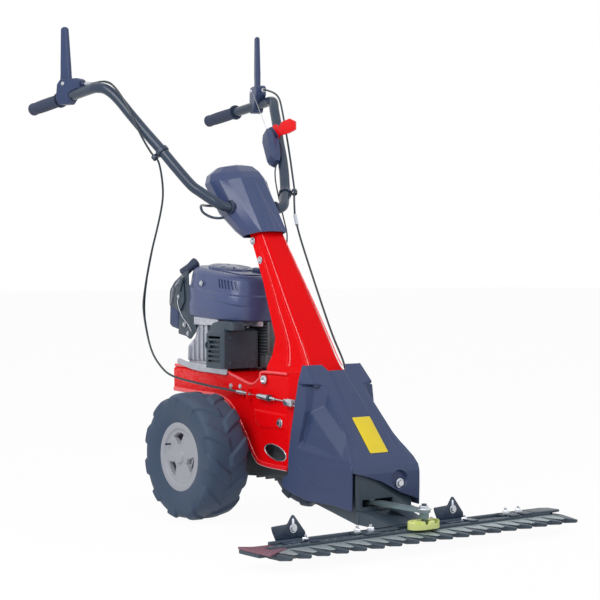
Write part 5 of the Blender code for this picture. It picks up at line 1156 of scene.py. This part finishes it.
def shroudGrid():
    # levels of rounded rectangles, close together where the slots lie; slots and crease are pressed in or out
    # along the line to the middle
    dense = np.linspace(0.3, 1.45, 190)
    angle = np.concatenate([np.linspace(-0.3, 0.3, 24, endpoint=False), dense,
        np.linspace(1.47, 2 * np.pi - 1.47, 130), -dense[::-1] + 2 * np.pi])
    table = np.array(engine["levels"])
    run = np.concatenate([[0], np.cumsum(np.hypot(*np.diff(table[:, :2], axis=0).T))])
    at = np.concatenate([np.linspace(0, run[5], 70, endpoint=False),
        np.linspace(run[5], run[8], 60, endpoint=False), np.linspace(run[8], run[-1], 60)])
    rows = blurAlong(np.stack([np.interp(at, run, table[:, k]) for k in range(4)], -1), 0, 1.0, False)
    z0, hx, hy, slope = (rows[:, k][:, None] for k in range(4))
    x, y = superPoint(angle[None, :], hx, hy)
    fine = np.linspace(0, np.pi, 4000)
    fx, fy = superPoint(fine, 0.13, 0.095)
    arc = np.concatenate([[0], np.cumsum(np.hypot(np.diff(fx), np.diff(fy)))])
    folded = np.where(angle > np.pi, 2 * np.pi - angle, angle)
    along = np.interp(np.abs(folded), fine, arc)[None, :]
    lean = along - (z0 - engine["slotLow"]) * 0.35
    step = (lean - engine["slotStart"]) / engine["slotPitch"]
    inside = np.abs(step - np.floor(step) - 0.5) * engine["slotPitch"]
    half, low, high = engine["slotWidth"] / 2, engine["slotLow"], engine["slotHigh"]
    slot = smoothStep(half + 0.0004, half - 0.0004, inside) * (step > 0) * (step < engine["slots"])
    slot = slot * smoothStep(low, low + 0.0012, z0) * smoothStep(high, high - 0.0012, z0)
    worldX = x + engine["centre"]
    z = z0 + slope * x
    below = z - (0.565 - 0.215 * (worldX + 0.05))
    fold = 0.0032 * smoothStep(0.0, 0.0025, below) * (1 - smoothStep(0.004, 0.032, below))
    fold = fold * smoothStep(-0.135, -0.04, worldX) * smoothStep(0.04, 0.02, worldX)
    fold = fold * (np.abs(y) > 0.03) * (z0 < 0.59)
    rear = 0.004 * smoothStep(-0.15, -0.2, worldX) * hump(z0, 0.565, 0.016)
    shrink = 1 - (0.0046 * slot - fold + rear) / np.maximum(np.hypot(x, y), 0.02)
    return np.stack([worldX + x * (shrink - 1), y * shrink, z], -1)


def tilted(shape, centre):
    # a shape made about the upright axis, leant with the shroud's top
    lean = math.degrees(math.atan(-engine["lean"]))
    return moved(shape, turnAbout("y", lean), centre)


def buildShroud():
    # the shroud takes the lighter copy of the black plastic: painted light
    addPiece("shroud_skin", [gridShape(shroudGrid(), wrapCols=True)], "shroudPlasticPaintedLight", "machine",
        ["engine_shroud"], smooth=44)
    dress("recoil_cover", "shroudPlasticPaintedLight", 0.0006)
    seat = 0.643 + engine["lean"] * (-0.058 - engine["centre"]) + 0.0003
    knurl = lambda a: 1 + 0.022 * np.cos(a * 18)
    cap = lathe([(0, 0), (0.0156, 0), (0.016, 0.0012), (0.016, 0.0092), (0.015, 0.0112), (0.012, 0.0122),
        (0, 0.0123)], (0, 0, 0), "z", 144, around=knurl)
    addPiece("fuel_cap_top", [tilted(cap, (-0.058, 0.042, seat))], "plastic", "filler_cap", ["fuel_cap"],
        smooth=30)
    raised = roundSlab([(-0.09, -0.06), (-0.01, -0.052), (0.004, -0.03), (0.004, 0.012), (-0.02, 0.018),
        (-0.07, 0.018)], 0.014, 0.643, 0.6462, "z", 0.0012, steps=8)
    points = raised[0].copy()
    points[:, 2] += engine["lean"] * (points[:, 0] - engine["centre"])
    addPiece("shroud_top_plate", [(points, raised[1])], "shroudPlasticPaintedLight", "machine", smooth=40)


def buildStarterGrip():
    start, end = np.array([-0.2475, -0.08, 0.633]), np.array([-0.219, -0.047, 0.669])
    s = np.linspace(0, 1, 60)
    radius = 0.0122 + 0.0016 * hump(s, 0.86, 0.16) + 0.001 * hump(s, 0.1, 0.14)
    radius = radius - 0.0006 * hump(s, 0.5, 0.12)
    radius = radius * np.sqrt(1 - np.clip((s - 0.9) / 0.1, 0, 1) ** 2 * 0.75)
    radius = radius * np.sqrt(1 - np.clip((0.08 - s) / 0.08, 0, 1) ** 2 * 0.6)
    path = start + (end - start) * s[:, None]
    addPiece("starter_grip_moulding", [sweep(path, radius, (0, 1, 0), 36, squash=(1.12, 0.92))], "rubber",
        "starter", ["starter_grip"], smooth=60)


def buildCrankcase():
    dress("crankcase", "castMetal", 0.0022, 3)
    around = (engine["crank"], 0, 0)
    flange = [(0.06, 0.474), (0.068, 0.48), (0.078, 0.492), (0.085, 0.501), (0.0895, 0.504),
        (0.09, 0.5055), (0.09, 0.5085), (0.0885, 0.51), (0.06, 0.51)]
    ring = lathe(roundProfile(flange, 0.002), around, "z", 96, closed=True)
    addPiece("starter_flange", [ring], "castMetal", "machine", smooth=35)
    base = [(0.06, 0.3868), (0.0905, 0.3868), (0.0915, 0.3878), (0.0915, 0.393), (0.09, 0.3945),
        (0.072, 0.399), (0.06, 0.399)]
    addPiece("crankcase_foot", [lathe(base, around, "z", 96, closed=True)], "castMetal", "machine",
        smooth=35)
    side = [(-0.205, 0.399), (-0.203, 0.438), (-0.166, 0.464), (-0.154, 0.496), (-0.142, 0.505),
        (-0.114, 0.505), (-0.108, 0.496), (-0.108, 0.399)]
    shapes = [roundSlab(side, 0.006, -0.09, -0.056, "y", 0.003, steps=5)]
    for x, high in ((-0.19, 0.44), (-0.168, 0.456), (-0.146, 0.49), (-0.124, 0.496)):
        rib = roundOutline([(x - 0.0028, 0.4), (x - 0.0018, high), (x + 0.0018, high), (x + 0.0028, 0.4)],
            0.0012)
        shapes.append(slab(rib, -0.095, -0.088, "y", 0.001))
    addPiece("crankcase_side", shapes, "castMetal", "machine", smooth=40)
    plate = [(-0.236, 0.39), (-0.235, 0.402), (-0.227, 0.404), (-0.19, 0.3965), (-0.1, 0.394),
        (-0.02, 0.3905), (0.005, 0.386), (0.002, 0.369), (-0.06, 0.3712), (-0.115, 0.3728),
        (-0.16, 0.3762), (-0.207, 0.384)]
    addPiece("engine_foot_plate", [roundSlab(plate, 0.005, -0.1042, -0.0985, "y", 0.0018, steps=5)],
        "castMetal", "machine", smooth=40)
    base = roundSlab([(-0.03, 0.002), (0.038, 0.002), (0.038, 0.07), (-0.03, 0.07)], 0.008, 0.3862, 0.421,
        "z", 0.002, steps=5)
    addPiece("cylinder_foot", [base], "darkCast", "machine")
    bolts = []
    for degrees in (200, 236, 262, 290, 318):
        a = math.radians(degrees)
        bolts += hexBolt((engine["crank"] + 0.082 * math.cos(a), 0.082 * math.sin(a), 0.5035), "-z",
            0.008, 0.0045)
    addPiece("flange_bolts", bolts, "brightSteel", "machine")
    outline = roundOutline([(-0.056, -0.001), (0.034, -0.001), (0.034, 0.073), (-0.056, 0.073)], 0.008, 5)
    levels = [0.4215 + 0.0082 * k for k in range(11)]
    fins = [slab(outline, z, z + 0.0026, "z", 0.0005) for z in levels]
    core = roundSlab([(-0.056, 0.006), (0.04, 0.006), (0.04, 0.066), (-0.056, 0.066)], 0.01, 0.42, 0.508,
        "z", 0.002, steps=5)
    plug = [(0, 0), (0.0075, 0), (0.0075, 0.006), (0.0045, 0.0065), (0.0045, 0.016), (0, 0.017)]
    plug = lathe(plug, (0.0355, 0.036, 0.463), "x", 32)
    addPiece("cylinder_fins", [core, *fins, plug], "darkCast", "machine", ["cylinder"])


def buildGuard():
    dress("muffler_guard", "darkCoat", 0.0028, 3, angle=35)
    dress("muffler", "darkCoat", 0.0015)
    hoods = []
    x = np.linspace(-0.06, 0.001, 40)[:, None]
    across = np.linspace(-1, 1, 9)[None, :]
    bulge = np.sqrt(np.clip(1 - ((x + 0.0295) / 0.0315) ** 6, 0, 1))
    y = -0.1213 - 0.0028 * bulge * (1 - across ** 2) ** 0.5 + 0.002 * (x + 0.068) * -0.5
    for z in [0.4045 + 0.0125 * k for k in range(6)]:
        height = z + 0.0056 + across * 0.003 * bulge + 0.001 * np.sin((x + 0.06) / 0.061 * np.pi)
        outer = np.stack([np.broadcast_to(x, y.shape), y, height], -1)
        inner = outer + [0, 0.0012, 0]
        hoods.append(gridShape(np.concatenate([outer, inner[:, ::-1]], 1), wrapCols=True))
    addPiece("guard_louvres", hoods, "darkCoat", "machine", smooth=60)
    ring = lathe([(0.008, -0.1215), (0.008, -0.1245), (0.0095, -0.1252), (0.0112, -0.1245),
        (0.0118, -0.1215)], (-0.056, 0, 0.446), "y", 48, closed=True)
    # a near-black disc closes the port ring: painted shade of the opening
    port = lathe([(0, -0.1218), (0.0078, -0.1218), (0.0078, -0.121), (0, -0.121)], (-0.056, 0, 0.446),
        "y", 32)
    addPiece("guard_port", [ring], "darkCoat", "machine", smooth=50)
    addPiece("guard_port_painted_shade", [port], "cableSheath", "machine")
    bolts = []
    for x, y, z in ((-0.03, -0.07, 0.4915), (-0.008, -0.03, 0.4915)):
        bolts += hexBolt((x, y, z), "z", 0.009, 0.005)
    addPiece("guard_bolts", bolts, "brightSteel", "machine")
    front = [shape for z in (0.466, 0.399) for shape in hexBolt((0.013, -0.099, z), "x", 0.008, 0.004)]
    addPiece("guard_front_bolts", front, "darkCoat", "machine")
    arch = roundOutline([(-0.066, 0.486), (-0.064, 0.496), (-0.048, 0.506), (-0.014, 0.511),
        (0.038, 0.508), (0.044, 0.486)], 0.006, 6)
    addPiece("guard_top_shield", [slab(arch, -0.112, -0.072, "y", 0.003)], "darkCoat", "machine", smooth=50)


def buildFilter():
    dress("air_filter_box", "plastic", 0.005, 4)
    rod = [(-0.226, -0.09, 0.588), (-0.236, -0.101, 0.56), (-0.214, -0.1035, 0.522),
        (-0.186, -0.1, 0.496), (-0.176, -0.096, 0.478)]
    addPiece("governor_rod", [sweep(curveThrough(rod, 60), 0.0011, (0, 1, 0), 12)], "castMetal", "machine")
    lever = roundSlab([(-0.238, 0.592), (-0.219, 0.626), (-0.207, 0.62), (-0.222, 0.584)], 0.004, -0.1035,
        -0.1005, "y")
    plate = roundSlab([(-0.262, 0.545), (-0.244, 0.606), (-0.212, 0.612), (-0.206, 0.56),
        (-0.232, 0.528)], 0.006, -0.099, -0.0955, "y")
    bracket = roundSlab([(-0.246, 0.47), (-0.238, 0.536), (-0.206, 0.53), (-0.178, 0.486),
        (-0.19, 0.462)], 0.006, -0.093, -0.0895, "y")
    body = lathe([(0, -0.088), (0.012, -0.088), (0.013, -0.086), (0.013, -0.06), (0, -0.06)],
        (-0.228, 0, 0.56), "y", 40)
    frame = roundSlab([(-0.196, 0.644), (-0.22, 0.636), (-0.264, 0.612), (-0.286, 0.59), (-0.29, 0.556),
        (-0.287, 0.545), (-0.244, 0.54), (-0.203, 0.51), (-0.208, 0.466), (-0.186, 0.456), (-0.156, 0.48),
        (-0.16, 0.525), (-0.194, 0.605)], 0.005, -0.094, -0.0905, "y")
    springs = []
    for first, last in (((-0.25, -0.099, 0.6), (-0.212, -0.099, 0.628)),
            ((-0.276, -0.098, 0.552), (-0.262, -0.098, 0.596))):
        s = np.linspace(0, 1, 260)[:, None]
        line = np.array(first) + (np.array(last) - first) * s
        side = np.cross(np.array(last) - first, (0, 1, 0))
        side /= np.linalg.norm(side)
        turn = 2 * np.pi * 13 * s
        coil = side * np.cos(turn) + np.array([0, 1, 0]) * np.sin(turn)
        springs.append(sweep(line + 0.003 * coil, 0.0006, (0, 1, 0.01), 8))
    addPiece("governor_springs", springs, "castMetal", "machine", smooth=60)
    addPiece("choke_plates", [lever, plate, bracket, body, frame], "darkCoat", "machine")
    shapes = []
    for x, y, z, size in ((-0.119, -0.101, 0.609, 0.009), (-0.232, -0.1, 0.572, 0.007),
            (-0.212, -0.094, 0.496, 0.009), (-0.196, -0.093, 0.472, 0.008), (0.012, -0.0985, 0.5, 0.009)):
        shapes += hexBolt((x, y, z), "-y", size, size * 0.5)
    addPiece("engine_bolts", shapes, "brightSteel", "machine")


buildShroud()
buildStarterGrip()
buildCrankcase()
buildGuard()
buildFilter()
print("engine built")


# cables, bail and belt tensioner

cables = {
    "sleeve": [(-0.0185, 0.1365, 0.794), (-0.01, 0.1333, 0.78), (-0.001, 0.13, 0.766)],
    "bail": [(-0.03, -0.087, 0.783), (-0.04, -0.101, 0.781), (-0.06, -0.112, 0.785),
        (-0.085, -0.118, 0.797), (-0.105, -0.112, 0.812), (-0.13, -0.09, 0.818), (-0.15, -0.06, 0.818),
        (-0.156, 0.0, 0.818)],
    "linkY": -0.1065,
}


def buildCables():
    for name in ("drive_cable", "knife_cable", "throttle_cable", "stop_wire"):
        skin = dress(name, "brightSteel" if name == "stop_wire" else "cableSheath", 0, smooth=180)
        rounder = skin.modifiers.new("round section", "SUBSURF")
        rounder.levels = rounder.render_levels = 2
    cableTube("knife_cable_sleeve", cables["sleeve"], 0.0046, "whiteSleeve", "machine")
    half = cables["bail"]
    route = half + [(x, -y, z) for x, y, z in half[-2::-1]]
    cableTube("tilt_bail_wire", route, 0.0036, "powderCoat", "bail", (0, 0, 1), ["tilt_bail"])
    s = np.array([0, 0.0005, 0.006, 0.0065, 0.009, 0.0095, 0.018, 0.0185])[:, None]
    radius = [0.0042, 0.0052, 0.0052, 0.0062, 0.0062, 0.0044, 0.0044, 0.0036]
    for side, label, _, place, _ in bar["levers"]:
        out = leverWay(side)
        ahead = np.array([side * out[1], -side * out[0], 0])
        mouth = np.array(place) + [0, 0, -0.004] + ahead * 0.068
        adjuster = sweep(mouth + ahead * s, radius, (0, 0, 1), 24)
        addPiece(f"cable_adjuster_{label}", [adjuster], "brightSteel", "handlebar", smooth=30)


def alongLink(x):
    return np.array([x, cables["linkY"], 0.3265 - (x - 0.11) * 0.058])


def turnedPart(name, profile, finish, body):
    # a part turned about the link's line: pairs of distance along it and radius
    path = np.array([alongLink(x) for x, r in profile])
    addPiece(name, [sweep(path, [r for x, r in profile], (0, 1, 0), 28)], finish, body, smooth=30)


def buildLink():
    dress("drive_link", "brightSteel", 0.0004)
    path = np.array([(0.056, -0.1075, 0.3302), (0.0565, -0.1075, 0.3302), (0.066, -0.107, 0.3297),
        (0.0665, -0.107, 0.3297), (0.09, -0.1065, 0.3281), (0.0905, -0.1065, 0.3281),
        (0.099, -0.1065, 0.3274)])
    ferrule = sweep(path, [0.0036, 0.0044, 0.0044, 0.0052, 0.0052, 0.004, 0.0036], (0, 1, 0), 28)
    addPiece("cable_ferrule", [ferrule], "brightSteel", "machine", smooth=30)
    nuts = []
    for x in (0.1025, 0.108):
        nuts += hexBolt((x, cables["linkY"], 0.3265), "x", 0.0105, 0.0042, washer=False)
    addPiece("cable_stop_nuts", nuts, "brightSteel", "machine")
    turnedPart("tensioner_barrel", [(0.149, 0.005), (0.1505, 0.0072), (0.1525, 0.0076), (0.19, 0.0076),
        (0.1915, 0.007)], "brightSteel", "link")
    turnedPart("tensioner_nut", [(0.1925, 0.008), (0.193, 0.0084), (0.199, 0.0084), (0.1995, 0.008)],
        "darkCoat", "link")
    turnedPart("tensioner_neck", [(0.2, 0.0052), (0.206, 0.0056), (0.211, 0.0044), (0.218, 0.0044),
        (0.219, 0.0034)], "brightSteel", "link")
    yoke = [roundSlab([(0.264, 0.3085), (0.298, 0.3065), (0.298, 0.3225), (0.264, 0.3245)], 0.003, y,
        y + 0.002, "y", 0.0004) for y in (-0.113, -0.102)]
    pin = lathe([(0, -0.115), (0.0036, -0.115), (0.0036, -0.0985), (0, -0.0985)], (0.286, 0, 0.315), "y",
        24)
    addPiece("link_yoke", [*yoke, pin], "brightSteel", "link")


def buildSmallDrive():
    for name in ("crankshaft", "crank_pulley", "drive_pulley", "flywheel", "idler_arm", "idler_pulley",
            "axle_shaft", "drive_belt"):
        dress(name, {"flywheel": "castMetal", "drive_belt": "rubber"}.get(name, "brightSteel"), 0.0006)


buildCables()
buildLink()
buildSmallDrive()
print("cables and drive built")


# cutter bar, knife and carrier

cutter = {
    "pitch": 0.0508, "first": -0.4647, "fingers": 17, "tip": 0.77, "head": (0.688, -0.023),
    "pivot": (0.69, -0.023, 0), "skids": ((-0.357, "right"), (0.121, "left")),
}


def fingerShape():
    # one forged finger along X: the width narrows to a blunt nose, the back is raised over the knife's edge
    x = np.concatenate([np.linspace(0.68, 0.756, 34), np.linspace(0.7575, cutter["tip"], 14)])
    nose = np.clip((x - 0.76) / 0.01, 0, 1)
    half = np.interp(x, [0.68, 0.696, 0.706, 0.73, 0.76], [0.013, 0.0128, 0.0078, 0.0056, 0.0044])
    half = half * np.sqrt(1 - 0.86 * nose ** 2)
    top = np.interp(x, [0.68, 0.698, 0.708, 0.73, 0.76], [0.0378, 0.0378, 0.038, 0.0381, 0.0386])
    top = top - 0.0034 * nose ** 2
    low = np.interp(x, [0.68, 0.7, 0.73, 0.76], [0.029, 0.025, 0.0245, 0.029]) + 0.0028 * nose ** 2
    turn = np.linspace(0, 2 * np.pi, 20, endpoint=False)
    a, b = superPoint(turn, 1.0, 1.0, 2.6)
    height = (top + low)[:, None] / 2 + (top - low)[:, None] / 2 * b
    grid = np.stack([np.broadcast_to(x[:, None], (len(x), 20)), half[:, None] * a, height], -1)
    ends = [np.broadcast_to(grid[k].mean(0), (1, 20, 3)) for k in (0, -1)]
    return gridShape(np.concatenate([ends[0], grid, ends[1]]), wrapCols=True)


def buildBar():
    dress("finger_bar", "darkCoat", 0.0012, 2)
    finger = fingerShape()
    places = [cutter["first"] + cutter["pitch"] * k for k in range(cutter["fingers"])]
    addPiece("forged_fingers", [moved(finger, None, (0, y, 0)) for y in places], "darkCoat", "machine",
        smooth=50)
    outer = [moved((finger[0] * [1, 0.8, 1], finger[1]), None, (0.002, 0.399, 0))]
    addPiece("outer_finger", outer, "darkCoat", "machine", smooth=50)
    rail = roundSlab([(0.6342, -0.43), (0.645, -0.43), (0.645, 0.425), (0.6342, 0.41)], 0.002, 0.0375,
        0.05, "z", 0.0012)
    ledge = roundSlab([(0.645, -0.425), (0.666, -0.425), (0.666, 0.425), (0.645, 0.425)], 0.002, 0.0375,
        0.0438, "z", 0.001)
    addPiece("bar_back_rail", [rail, ledge], "darkCoat", "machine")
    right = roundOutline([(0.613, -0.4955), (0.633, -0.47), (0.636, -0.418), (0.69, -0.418),
        (0.708, -0.45), (0.74, -0.4985), (0.695, -0.5), (0.63, -0.4995)], 0.004)
    plate = slab(right, 0.0384, 0.0432, "z", 0.0012)
    addPiece("divider_right", [plate], "rawIron", "machine")
    left = roundOutline([(0.636, 0.345), (0.682, 0.345), (0.686, 0.4), (0.684, 0.432), (0.642, 0.429)],
        0.005)
    addPiece("bar_end_left", [slab(left, 0.044, 0.05, "z", 0.0012)], "darkCoat", "machine")


def buildKnife():
    # pale sections with their points between the fingers, riveted under a dark back bar
    shapes, rivets = [], []
    for k in range(cutter["fingers"]):
        y = cutter["first"] + cutter["pitch"] * (k + 0.5)
        half = cutter["pitch"] / 2 - 0.0005
        outline = roundOutline([(0.669, y - half), (0.669, y + half), (0.69, y + half),
            (0.75, y + 0.0062), (0.75, y - 0.0062), (0.69, y - half)], 0.0012, 2)
        shapes.append(slab(outline, 0.0385, 0.0402, "z", 0.0005))
        for dy in (-0.012, 0.012):
            rivets.append(lathe([(0, 0.0459), (0.0036, 0.0459), (0.0034, 0.047), (0.0022, 0.0478),
                (0, 0.0481)], (0.6775, y + dy, 0), "z", 16))
    addPiece("knife_sections", shapes, "knifeSteel", "knife_set", ["knife"], smooth=30)
    back = roundOutline([(0.6692, cutter["first"] + 0.003), (0.6858, cutter["first"] + 0.003),
        (0.6858, 0.3959), (0.6692, 0.3959)], 0.002)
    addPiece("knife_back", [slab(back, 0.04, 0.0462, "z", 0.0008)], "darkCoat", "knife_set")
    addPiece("knife_rivets", rivets, "darkCast", "knife_set", smooth=50)


def knifeHeadGrid():
    # rings from the foot up the side and over the lip to the middle; three pockets are let into the top
    turn = np.linspace(0, 2 * np.pi, 180, endpoint=False)
    rings = [(0.97, 0.0466), (1.0, 0.0472), (1.0, 0.05), (1.0, 0.056), (1.0, 0.061), (0.995, 0.064),
        (0.975, 0.0655), (0.95, 0.066)]
    rings += [(s, 0.066) for s in np.linspace(0.93, 0.0, 70)]
    scale, height = (np.array([r[k] for r in rings])[:, None] for k in (0, 1))
    ex, ey = superPoint(turn[None, :], 0.0232, 0.0432, 2.3)
    x, y = ex * scale, ey * scale
    waist = 1 - 0.1 * np.exp(-(np.abs(turn - np.pi) / 0.28) ** 2)[None, :] * smoothStep(0.6, 1.0, scale)
    x = x * waist
    z = np.broadcast_to(height, x.shape).copy()
    for px, py, rx, ry, depth in ((0.003, -0.0285, 0.0125, 0.0088, 0.009),
            (0.003, 0.0285, 0.0125, 0.0088, 0.009), (0.0, 0.0, 0.015, 0.0122, 0.0125)):
        r = ((x - px) / rx) ** 4 + ((y - py) / ry) ** 4
        z = z - depth * smoothStep(1.25, 0.75, r) * (height > 0.0655)
    for py in (-0.028, -0.006, 0.023):
        gap = ((x - 0.023) / 0.015) ** 4 + ((y - py) / 0.0072) ** 4
        z = np.minimum(z, 0.066 - 0.0078 * smoothStep(1.25, 0.75, gap))
    return np.stack([x + cutter["head"][0], y + cutter["head"][1], z], -1)


def buildKnifeHead():
    addPiece("knife_head_casting", [capped(knifeHeadGrid())], "knifeHead", "knife_set", ["knife_head"],
        smooth=50)
    dress("drive_arm", "armSteel", 0.0016, 3)
    washer = [(0.006, 0.0905), (0.0165, 0.0905), (0.0172, 0.0912), (0.0172, 0.0926), (0.016, 0.0932),
        (0.006, 0.0932)]
    addPiece("arm_washer", [lathe(washer, cutter["pivot"], "z", 48, closed=True)], "brightSteel", "arm")
    nut = hexBolt((*cutter["pivot"][:2], 0.0918), "z", 0.02, 0.0082, washer=False)
    addPiece("arm_nut", nut, "brightSteel", "arm")
    cap = lathe([(0, 0.0998), (0.0058, 0.0998), (0.006, 0.1002), (0.006, 0.1044), (0, 0.105)],
        cutter["pivot"], "z", 28)
    addPiece("arm_stud_end", [cap], "darkCoat", "arm")


def clampSet(name, plates, bolts, tongues):
    shapes = [roundSlab(p, 0.003, 0.044, 0.05, "z", 0.0012) for p in plates]
    shapes += [roundSlab(p, 0.003, 0.047, 0.0506, "z", 0.001) for p in tongues]
    addPiece(name, shapes, "darkCoat", "machine")
    heads = []
    for x, y in bolts:
        heads += hexBolt((x, y, 0.05), "z", 0.0135, 0.008, stud=0.006)
    addPiece(name + "_nuts", heads, "brightSteel", "machine")


def buildFittings():
    clampSet("clamp_left", [[(0.635, 0.253), (0.6655, 0.253), (0.6655, 0.342), (0.635, 0.342)]],
        [(0.65, 0.277), (0.65, 0.32)], [[(0.66, 0.262), (0.6868, 0.262), (0.6868, 0.292), (0.66, 0.292)],
        [(0.66, 0.306), (0.6868, 0.306), (0.6868, 0.336), (0.66, 0.336)]])
    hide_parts("knife_clamp_left")
    clampSet("mount_plate", [[(0.6355, -0.206), (0.665, -0.206), (0.665, -0.075), (0.6355, -0.075)],
        [(0.6355, 0.0), (0.665, 0.0), (0.665, 0.046), (0.6355, 0.046)]],
        [(0.65, -0.19), (0.65, -0.15), (0.65, 0.012), (0.65, 0.036)],
        [[(0.66, -0.192), (0.6868, -0.192), (0.6868, -0.15), (0.66, -0.15)]])
    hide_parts("bar_mount_plate")
    for y, label in cutter["skids"]:
        upright = [(y - 0.056, 0.069), (y - 0.0585, 0.08), (y - 0.0145, 0.0822), (y - 0.002, 0.1014),
            (y + 0.003, 0.1014), (y + 0.035, 0.061), (y + 0.035, 0.043), (y - 0.044, 0.043)]
        slot = [(y - 0.0035, 0.064), (y + 0.0035, 0.064), (y + 0.0035, 0.094), (y - 0.0035, 0.094)]
        sheet = roundSlab(upright, 0.003, 0.626, 0.63, "x", 0.001)
        foot = [(0.6262, y - 0.046), (0.6262, y + 0.036), (0.664, y + 0.036), (0.664, y - 0.046)]
        foot = roundSlab(foot, 0.003, 0.044, 0.0476, "z", 0.001)
        clip = [(0.654, y + 0.01), (0.686, y + 0.01), (0.686, y + 0.033), (0.654, y + 0.033)]
        clip = roundSlab(clip, 0.002, 0.047, 0.0502, "z", 0.0008)
        inset = roundSlab(slot, 0.0034, 0.6299, 0.6303, "x")
        addPiece(f"bracket_{label}_plate", [sheet, foot, clip], "powderCoat", "machine",
            [f"skid_bracket_{label}"], smooth=35)
        addPiece(f"bracket_{label}_slot", [inset], "brightSteel", "machine")
        nut = hexBolt((0.646, y + 0.022, 0.044), "z", 0.0135, 0.008, stud=0.006)
        addPiece(f"bracket_nut_{label}", nut, "brightSteel", "machine")
        profile = [(0.625, 0.08), (0.625, 0.012), (0.6235, 0.006), (0.619, 0.002), (0.613, 0.0),
            (0.53, 0.0), (0.516, 0.004), (0.509, 0.011), (0.512, 0.0135), (0.5185, 0.0075),
            (0.531, 0.004), (0.612, 0.004), (0.6165, 0.0053), (0.6195, 0.0078), (0.621, 0.012),
            (0.621, 0.08)]
        body = label + "_skid"
        strap = slab(profile, y - 0.021, y + 0.021, "y", 0.0008)
        addPiece(f"skid_{label}_strap", [strap], "darkCoat", body, [f"skid_{label}"], smooth=40)
        bolt = hexBolt((0.6305, y, 0.072), "x", 0.013, 0.006) + hexBolt((0.6209, y, 0.072), "-x", 0.013,
            0.006)
        addPiece(f"skid_{label}_bolt", bolt, "brightSteel", body)
    dress("bar_carrier", "darkCoat", 0.0022, 3)
    dress("gearbox_housing", "darkCast", 0.002, 3)


buildBar()
buildKnife()
buildKnifeHead()
buildFittings()
print("cutter bar built")


# every solid that still shows takes the finish of its record slot

plainFinish = {
    "red_paint": "redPaint", "black_plastic": "plastic", "black_coat": "powderCoat", "tyre": "tyre",
    "rim_grey": "rim", "steel": "brightSteel", "dark_steel": "darkCoat", "cast_aluminium": "castMetal",
    "head_green": "knifeHead", "knob_red": "knob", "rubber": "rubber",
}
slotOf = {row["node"]: row["material_slot"] for row in frame["record"]["subparts"]}
for nodeName, obj in frame["nodes"].items():
    obj.data.materials.clear()
    obj.data.materials.append(finishes[plainFinish[slotOf[nodeName]]][0])
print("solids given their finishes")


# floor, light and camera

studio = {
    "floorColour": (0.93, 0.93, 0.93), "floorSize": 40.0, "floorWhiteness": 0.955, "worldStrength": 0.54,
    "keyPower": 118.0, "fillPower": 34.0,
    "lamps": (("keyLight", (1.2, -3.4, 3.2), 2.6, "keyPower", (1, 1, 1)),
        ("fillLight", (3.6, 1.6, 1.8), 3.0, "fillPower", (0.85, 0.92, 1.0))),
    "aim": (0.1, 0, 0.4), "lens": 97.07, "sensor": 36.0, "farthest": 200, "eye": (3.4906, -2.5045, 0.645),
    "yaw": 142.856, "pitch": -1.07,
}


def seenRays(tree):
    # 1 for camera, mirror and see-through rays, 0 for all others
    path = node(tree, "LightPath")
    seen = reckon(tree, "MAXIMUM", path.outputs["Is Camera Ray"], path.outputs["Is Glossy Ray"])
    return reckon(tree, "MAXIMUM", seen, path.outputs["Is Transmission Ray"])


def whiteToCamera(tree, shaderOut, whiteness):
    # the seen rays meet the plain white background in that share, the others the real surface
    share = reckon(tree, "MULTIPLY", seenRays(tree), whiteness)
    glow = node(tree, "Emission", {"Color": (1, 1, 1, 1), "Strength": 1.0})
    return node(tree, "MixShader", {0: share, 1: shaderOut, 2: glow.outputs[0]}).outputs[0]


def makeStudio():
    size = studio["floorSize"]
    mesh = bpy.data.meshes.new("floor")
    mesh.from_pydata([(-size, -size, 0), (size, -size, 0), (size, size, 0), (-size, size, 0)], [],
        [(0, 1, 2, 3)])
    floor = bpy.data.objects.new("floor", mesh)
    bpy.context.scene.collection.objects.link(floor)
    material = bpy.data.materials.new("plain floor")
    material.use_nodes = True
    tree = material.node_tree
    shader = tree.nodes["Principled BSDF"]
    shader.inputs["Base Color"].default_value = (*studio["floorColour"], 1.0)
    shader.inputs["Roughness"].default_value = 0.9
    shader.inputs["Specular IOR Level"].default_value = 0.0
    plain = whiteToCamera(tree, shader.outputs[0], studio["floorWhiteness"])
    tree.links.new(plain, tree.nodes["Material Output"].inputs[0])
    mesh.materials.append(material)
    world = bpy.data.worlds.new("studio")
    bpy.context.scene.world = world
    world.use_nodes = True
    tree = world.node_tree
    light = tree.nodes["Background"]
    light.inputs[0].default_value = (1.0, 1.0, 1.0, 1.0)
    light.inputs[1].default_value = studio["worldStrength"]
    white = node(tree, "Background", {0: (1, 1, 1, 1), 1: 1.0})
    mix = node(tree, "MixShader", {0: seenRays(tree), 1: light.outputs[0], 2: white.outputs[0]})
    tree.links.new(mix.outputs[0], tree.nodes["World Output"].inputs[0])


def addLamp(name, place, size, power, colour):
    lamp = bpy.data.lights.new(name, "AREA")
    lamp.size = size
    lamp.energy = studio[power]
    lamp.color = colour
    obj = bpy.data.objects.new(name, lamp)
    bpy.context.scene.collection.objects.link(obj)
    spot = np.array(place) + machineOrigin
    away = spot - np.array(studio["aim"]) - machineOrigin
    away /= np.linalg.norm(away)
    obj.location = spot
    obj.rotation_euler = (math.acos(away[2]), 0, math.atan2(away[1], away[0]) + math.pi / 2)


def placeCamera():
    # the photograph's own view: its place, its way round and its lens
    camera = bpy.data.cameras.new("camera")
    camera.lens = studio["lens"]
    camera.sensor_width = studio["sensor"]
    camera.clip_end = studio["farthest"]
    obj = bpy.data.objects.new("camera", camera)
    bpy.context.scene.collection.objects.link(obj)
    obj.location = np.array(studio["eye"]) + machineOrigin
    obj.rotation_euler = (math.radians(90 + studio["pitch"]), 0, math.radians(studio["yaw"] - 90))
    bpy.context.scene.camera = obj


makeStudio()
for lampRow in studio["lamps"]:
    addLamp(*lampRow)
placeCamera()
bpy.context.scene.view_settings.view_transform = "Standard"
